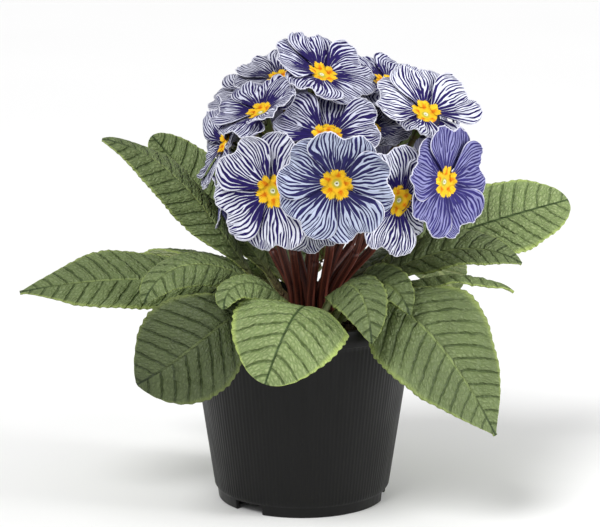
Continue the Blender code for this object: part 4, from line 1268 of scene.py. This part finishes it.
@dataclass
class Studio:
    """The camera at the photograph's angle, a pale floor and soft lights."""

    camera_place: Triple = (-0.0009, -1.25, 0.387)
    camera_tilt: float = 90 - 12.54
    focal_pixels: float = 2815
    picture_width: float = 600
    floor_grey: float = 0.88

    def floor(self) -> None:
        """Lays the floor, with a faint mottle."""
        g = Graph("studio_floor")
        cloud = g.noise(g.place(), 3.0, 2.0)
        grey = self.floor_grey
        colour = g.mix(cloud, (grey, grey, grey), (grey * 1.03, grey * 1.03, grey * 1.03))
        bm = bmesh.new()
        bmesh.ops.create_grid(bm, x_segments=8, y_segments=8, size=8)
        piece = show(bm, "studio_floor", [g.finish(colour, 0.9, None, Specular_IOR_Level=0.1)])

    def lamp(self, name: str, place: Triple, aim: Triple, size: tuple[float, float], power: float) -> None:
        """Hangs one soft rectangular lamp.

        Args:
            name: The lamp's name.
            place: Where it hangs.
            aim: What it points at.
            size: Its width and height.
            power: Its power in watts.
        """
        light = bpy.data.lights.new(name, "AREA")
        light.shape = "RECTANGLE"
        light.size, light.size_y = size
        light.energy = power
        lamp = bpy.data.objects.new(name, light)
        lamp.location = place
        lamp.rotation_euler = (Vector(aim) - Vector(place)).to_track_quat("-Z", "Y").to_euler()
        bpy.context.scene.collection.objects.link(lamp)

    def sun(self, place: Triple, aim: Triple, softness: float, strength: float) -> None:
        """Adds a distant key light, so that the floor is as bright far away as near.

        Args:
            place: The side that it comes from.
            aim: What it points at.
            softness: How wide it looks, in degrees.
            strength: Its strength.
        """
        light = bpy.data.lights.new("key", "SUN")
        light.angle = math.radians(softness)
        light.energy = strength
        lamp = bpy.data.objects.new("key", light)
        lamp.rotation_euler = (Vector(aim) - Vector(place)).to_track_quat("-Z", "Y").to_euler()
        bpy.context.scene.collection.objects.link(lamp)

    def build(self) -> None:
        """Sets up the whole studio."""
        self.floor()
        view = bpy.data.cameras.new("camera")
        view.sensor_width = 36
        view.lens = view.sensor_width * self.focal_pixels / self.picture_width
        view.clip_start = 0.05
        camera = bpy.data.objects.new("camera", view)
        camera.location = self.camera_place
        camera.rotation_euler = (math.radians(self.camera_tilt), 0, 0)
        bpy.context.scene.collection.objects.link(camera)
        bpy.context.scene.camera = camera
        bpy.context.scene.view_settings.view_transform = "Standard"
        world = bpy.data.worlds.new("studio_air")
        world.use_nodes = True
        background = world.node_tree.nodes["Background"]
        background.inputs[0].default_value = (1, 1, 1, 1)
        background.inputs[1].default_value = 0.62
        bpy.context.scene.world = world
        self.sun((-0.6, -0.9, 1.5), (0, 0, 0.12), 24, 1.9)
        self.lamp("side", (1.1, -0.35, 0.35), (0, 0, 0.08), (0.2, 0.9), 9)


# Each leaf's colour scale is painted light and shade: above 1 for leaves in light, below 1 for leaves in shade.
LEAVES = [
    Leaf(
        "leaf_far_left", foot=-84, width=19.6, widest=0.5, blunt=1.05, fold=8, curl=18,
        face=(0.05, -0.5, 0.85), wave=1.2, phase=0.4, painted_lighting=0.86,
        rib=((-30, -8, 104), (-76, -20, 112), (-126, -26, 101.5)),
    ),
    Leaf(
        "leaf_left_arched", foot=-64, width=11, widest=0.6, blunt=0.6, fold=-12, curl=30,
        face=(-0.1, -0.7, 0.7), wave=0.5, phase=2.1, painted_lighting=0.87,
        rib=((-22, -22, 116), (-60, -47, 131), (-69, -54, 103)),
    ),
    Leaf(
        "leaf_lower_left", foot=-44, width=24, widest=0.6, blunt=0.72, fold=2, curl=10,
        face=(0.4, -0.85, 0.3), wave=1.6, phase=1.1, stalk=0.36, painted_lighting=0.42,
        rib=((-22, -38, 114), (-38, -78, 90), (-72, -63, 69)),
    ),
    Leaf(
        "leaf_front", foot=-6, width=26, widest=0.38, blunt=0.5, fold=6, curl=22,
        face=(-0.1, -0.85, 0.5), wave=0.8, phase=0.0, stalk=0.34, painted_lighting=1.3,
        rib=((4, -36, 102), (-3, -70, 112), (-16, -78, 73)),
    ),
    Leaf(
        "leaf_front_left_small", foot=-25, width=8, widest=0.6, blunt=0.5, fold=-10, curl=30,
        face=(-0.1, -0.75, 0.65), wave=0.4, phase=3.0, painted_lighting=1.1,
        rib=((-13, -34, 114), (-35, -54, 117), (-34, -60, 102)),
    ),
    Leaf(
        "leaf_front_right_small", foot=17, width=13, widest=0.5, blunt=0.75, fold=-8, curl=22,
        face=(0.1, -0.85, 0.5), wave=0.4, phase=0.7, painted_lighting=0.78,
        rib=((14, -30, 112), (28, -60, 122), (30, -73, 90)),
    ),
    Leaf(
        "leaf_right_small", foot=38, width=10, widest=0.55, blunt=0.8, fold=18, curl=10,
        face=(0.1, -0.75, 0.65), wave=0.4, phase=1.9, painted_lighting=0.7,
        rib=((22, -24, 108), (41, -44, 118), (47, -54, 98)),
    ),
    Leaf(
        "leaf_lower_right", foot=58, width=28, widest=0.42, blunt=1.0, fold=8, curl=20,
        face=(0.3, -0.8, 0.5), wave=1.6, phase=2.6, painted_lighting=0.80,
        rib=((34, -32, 114), (60, -60, 96), (85, -60, 45)),
    ),
    Leaf(
        "leaf_right_edge", foot=80, width=10, widest=0.5, blunt=0.8, fold=-14, curl=20,
        face=(0, 0.1, 1), wave=1.8, phase=0.9,
        rib=((36, -8, 102), (70, -20, 117), (95, -22, 101)),
    ),
    Leaf(
        "leaf_right_long", foot=101, width=14, widest=0.55, blunt=0.8, fold=16, curl=20,
        face=(0, -0.45, 0.9), wave=1.0, phase=1.5, painted_lighting=0.85,
        rib=((36, 2, 108), (74, -2, 127), (100, 0, 109)),
    ),
    Leaf(
        "leaf_right_back", foot=123, width=21, widest=0.6, blunt=0.45, fold=6, curl=10,
        face=(-0.15, -0.75, 0.65), wave=1.0, phase=2.2, painted_lighting=1.25,
        rib=((32, 12, 110), (78, 38, 119), (126, 58, 127)),
    ),
    Leaf(
        "leaf_upper_left", foot=-105, width=14, widest=0.5, blunt=0.6, fold=-18, curl=16,
        face=(-0.2, -0.3, 0.93), wave=1.0, phase=0.2, painted_lighting=0.92,
        rib=((-28, 2, 100), (-48, 10, 160), (-91, 13, 164)),
    ),
    Leaf(
        "leaf_upper_left_back", foot=-127, width=15, widest=0.6, blunt=0.5, fold=14, curl=10,
        face=(-0.1, -0.6, 0.75), wave=0.9, phase=1.3,
        rib=((-18, 18, 110), (-44, 36, 134), (-70, 45, 160)),
    ),
    Leaf(
        "leaf_back_left", foot=-150, width=25, widest=0.5, blunt=0.6, fold=10, curl=24,
        face=(0, 0.4, 0.9), wave=1.4, phase=0.5, stalk=0.12,
        rib=((-22, 30, 106), (-54, 60, 114), (-84, 76, 74)),
    ),
    Leaf(
        "leaf_back", foot=-174, width=24, widest=0.45, blunt=0.5, fold=8, curl=24,
        face=(0, 0.8, 0.6), wave=1.4, phase=1.8, stalk=0.12,
        rib=((-8, 34, 106), (-12, 60, 130), (-14, 80, 96)),
    ),
    Leaf(
        "leaf_back_right", foot=148, width=25, widest=0.5, blunt=0.6, fold=10, curl=24,
        face=(0, 0.4, 0.9), wave=1.4, phase=2.9, stalk=0.12,
        rib=((22, 28, 106), (50, 62, 122), (74, 76, 78)),
    ),
]

# Blooms given the dusky tone stand in shadow, and their petals carry painted shade.
BLOOMS = [
    Bloom("front", (15, -52, 155.8), (-7, -8), turn=10, size=1.03, cup=17, flare=12, tone=Tone.MISTY),
    Bloom("right", (63.2, -30, 152.5), (46, 4), turn=10, size=1.0, cup=8, flare=10, tone=Tone.VIOLET),
    Bloom(
        "front_right", (42.6, -42, 146.5), (28, -6), turn=-14, size=0.96, cup=12, flare=12, tone=Tone.CRISP,
    ),
    Bloom("front_left", (-13, -41, 150.5), (-22, 0), turn=27, size=1.05, cup=12, flare=12, tone=Tone.CRISP),
    Bloom("right_top", (55, -18, 181), (28, 50), turn=8, size=1.0, cup=15, flare=14, tone=Tone.CRISP),
    Bloom("top", (9, -6, 197), (40, 56), turn=17, size=0.96, cup=15, flare=14, tone=Tone.DEEP),
    Bloom("centre", (11, -33, 173.5), (-4, 44), turn=8, size=0.96, cup=18, flare=12, tone=Tone.DEEP),
    Bloom("left", (-18.5, -22, 182.5), (-42, 60), turn=35, size=0.88, cup=12, flare=14, tone=Tone.DEEP),
    Bloom(
        "low_middle", (3, -31, 139), (-10, 0), turn=10, size=0.72, cup=10, flare=12, tone=Tone.CRISP, plain=True,
    ),
    Bloom("top_right", (38, 10, 191), (55, 72), turn=5, size=0.9, cup=16, flare=14, tone=Tone.DEEP),
    Bloom("top_left", (-10, 14, 192), (-24, 68), turn=4, size=0.84, cup=14, flare=14, tone=Tone.DUSKY),
    Bloom(
        "top_left_back", (-24, 29, 183), (-60, 56), turn=12, size=0.8, cup=14, flare=14, tone=Tone.DUSKY, plain=True,
    ),
    Bloom("left_upper", (-35, 6, 163), (-80, 22), turn=22, size=0.9, cup=12, flare=14, tone=Tone.DEEP),
    Bloom(
        "left_low", (-37, 5, 139), (-88, -4), turn=16, size=0.84, cup=12, flare=14, tone=Tone.VIOLET, plain=True,
    ),
    Bloom(
        "inner_right", (30, -7, 172), (20, 70), turn=5, size=0.78, cup=14, flare=14, tone=Tone.DUSKY, plain=True,
    ),
    Bloom("right_side", (70, 6, 165), (86, 20), turn=18, size=0.9, cup=12, flare=14, tone=Tone.DEEP),
    Bloom(
        "top_back", (14, 35, 187), (178, 46), turn=30, size=0.92, cup=12, flare=14, tone=Tone.DEEP, plain=True,
    ),
    Bloom(
        "back_left", (-22, 43, 162), (-145, 24), turn=8, size=0.96, cup=12, flare=14, tone=Tone.CRISP, plain=True,
    ),
    Bloom("back", (20, 49, 166), (-178, 26), turn=0, size=0.96, cup=12, flare=14, tone=Tone.DEEP, plain=True),
    Bloom(
        "back_right", (54, 34, 167), (132, 30), turn=14, size=0.96, cup=12, flare=14, tone=Tone.MISTY, plain=True,
    ),
    Bloom(
        "back_left_low", (-8, 46, 141), (-165, -4), turn=26, size=0.96, cup=12, flare=14, tone=Tone.MISTY, plain=True,
    ),
    Bloom(
        "back_right_low", (40, 47, 139), (155, -4), turn=30, size=0.9, cup=12, flare=14, tone=Tone.CRISP, plain=True,
    ),
]

SCAPES = [
    Scape("scape_front", (27, 8.8), ("front",)),
    Scape("scape_front_left", (-46, 8.8), ("front_left",)),
    Scape("scape_centre", (-10, 8.8), ("centre", "low_middle")),
    Scape("scape_front_right", (63, 8.8), ("front_right",)),
    Scape("scape_right_low", (98, 8.8), ("right",)),
    Scape("scape_left", (-82, 8.8), ("left", "left_upper")),
    Scape("scape_left_low", (-118, 8.8), ("left_low",)),
    Scape("scape_right", (134, 8.8), ("right_top", "right_side")),
    Scape("scape_top", (-20, 3.4), ("top", "top_back"), buds=(((9.6, -3.6, 113), (0.1, -0.1, 1)),)),
    Scape("scape_inner_right", (100, 3.4), ("inner_right", "top_right")),
    Scape("scape_top_left", (-140, 3.4), ("top_left", "top_left_back", "back_left")),
    Scape("scape_back", (-154, 8.8), ("back_left_low", "back")),
    Scape("scape_back_right", (170, 8.8), ("back_right", "back_right_low")),
]


def main() -> None:
    """Builds the studio and every piece."""
    logging.basicConfig(level=logging.INFO, format="%(name)s %(message)s")
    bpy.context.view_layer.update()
    Studio().build()
    Pot().build(PotPlastic().material())
    Bed().build(Peat().material())
    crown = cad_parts["crown"]
    crown.data.materials.clear()
    crown.data.materials.append(CrownBark().material())
    blade, blade_back = BladeFace().material(), BladeBack().material()
    for leaf in LEAVES:
        leaf.build(blade, blade_back)
    table = {bloom.name: bloom for bloom in BLOOMS}
    skin, calyx_skin = StalkSkin().material(), CalyxSkin().material()
    for scape in SCAPES:
        scape.build(skin, calyx_skin, table)
    faces = {tone: PetalFace(tone).material() for tone in Tone}
    back, throat = PetalBack().material(), Throat().material()
    for bloom in BLOOMS:
        bloom.build(faces, back, throat)


if __name__ == "__main__":
    main()
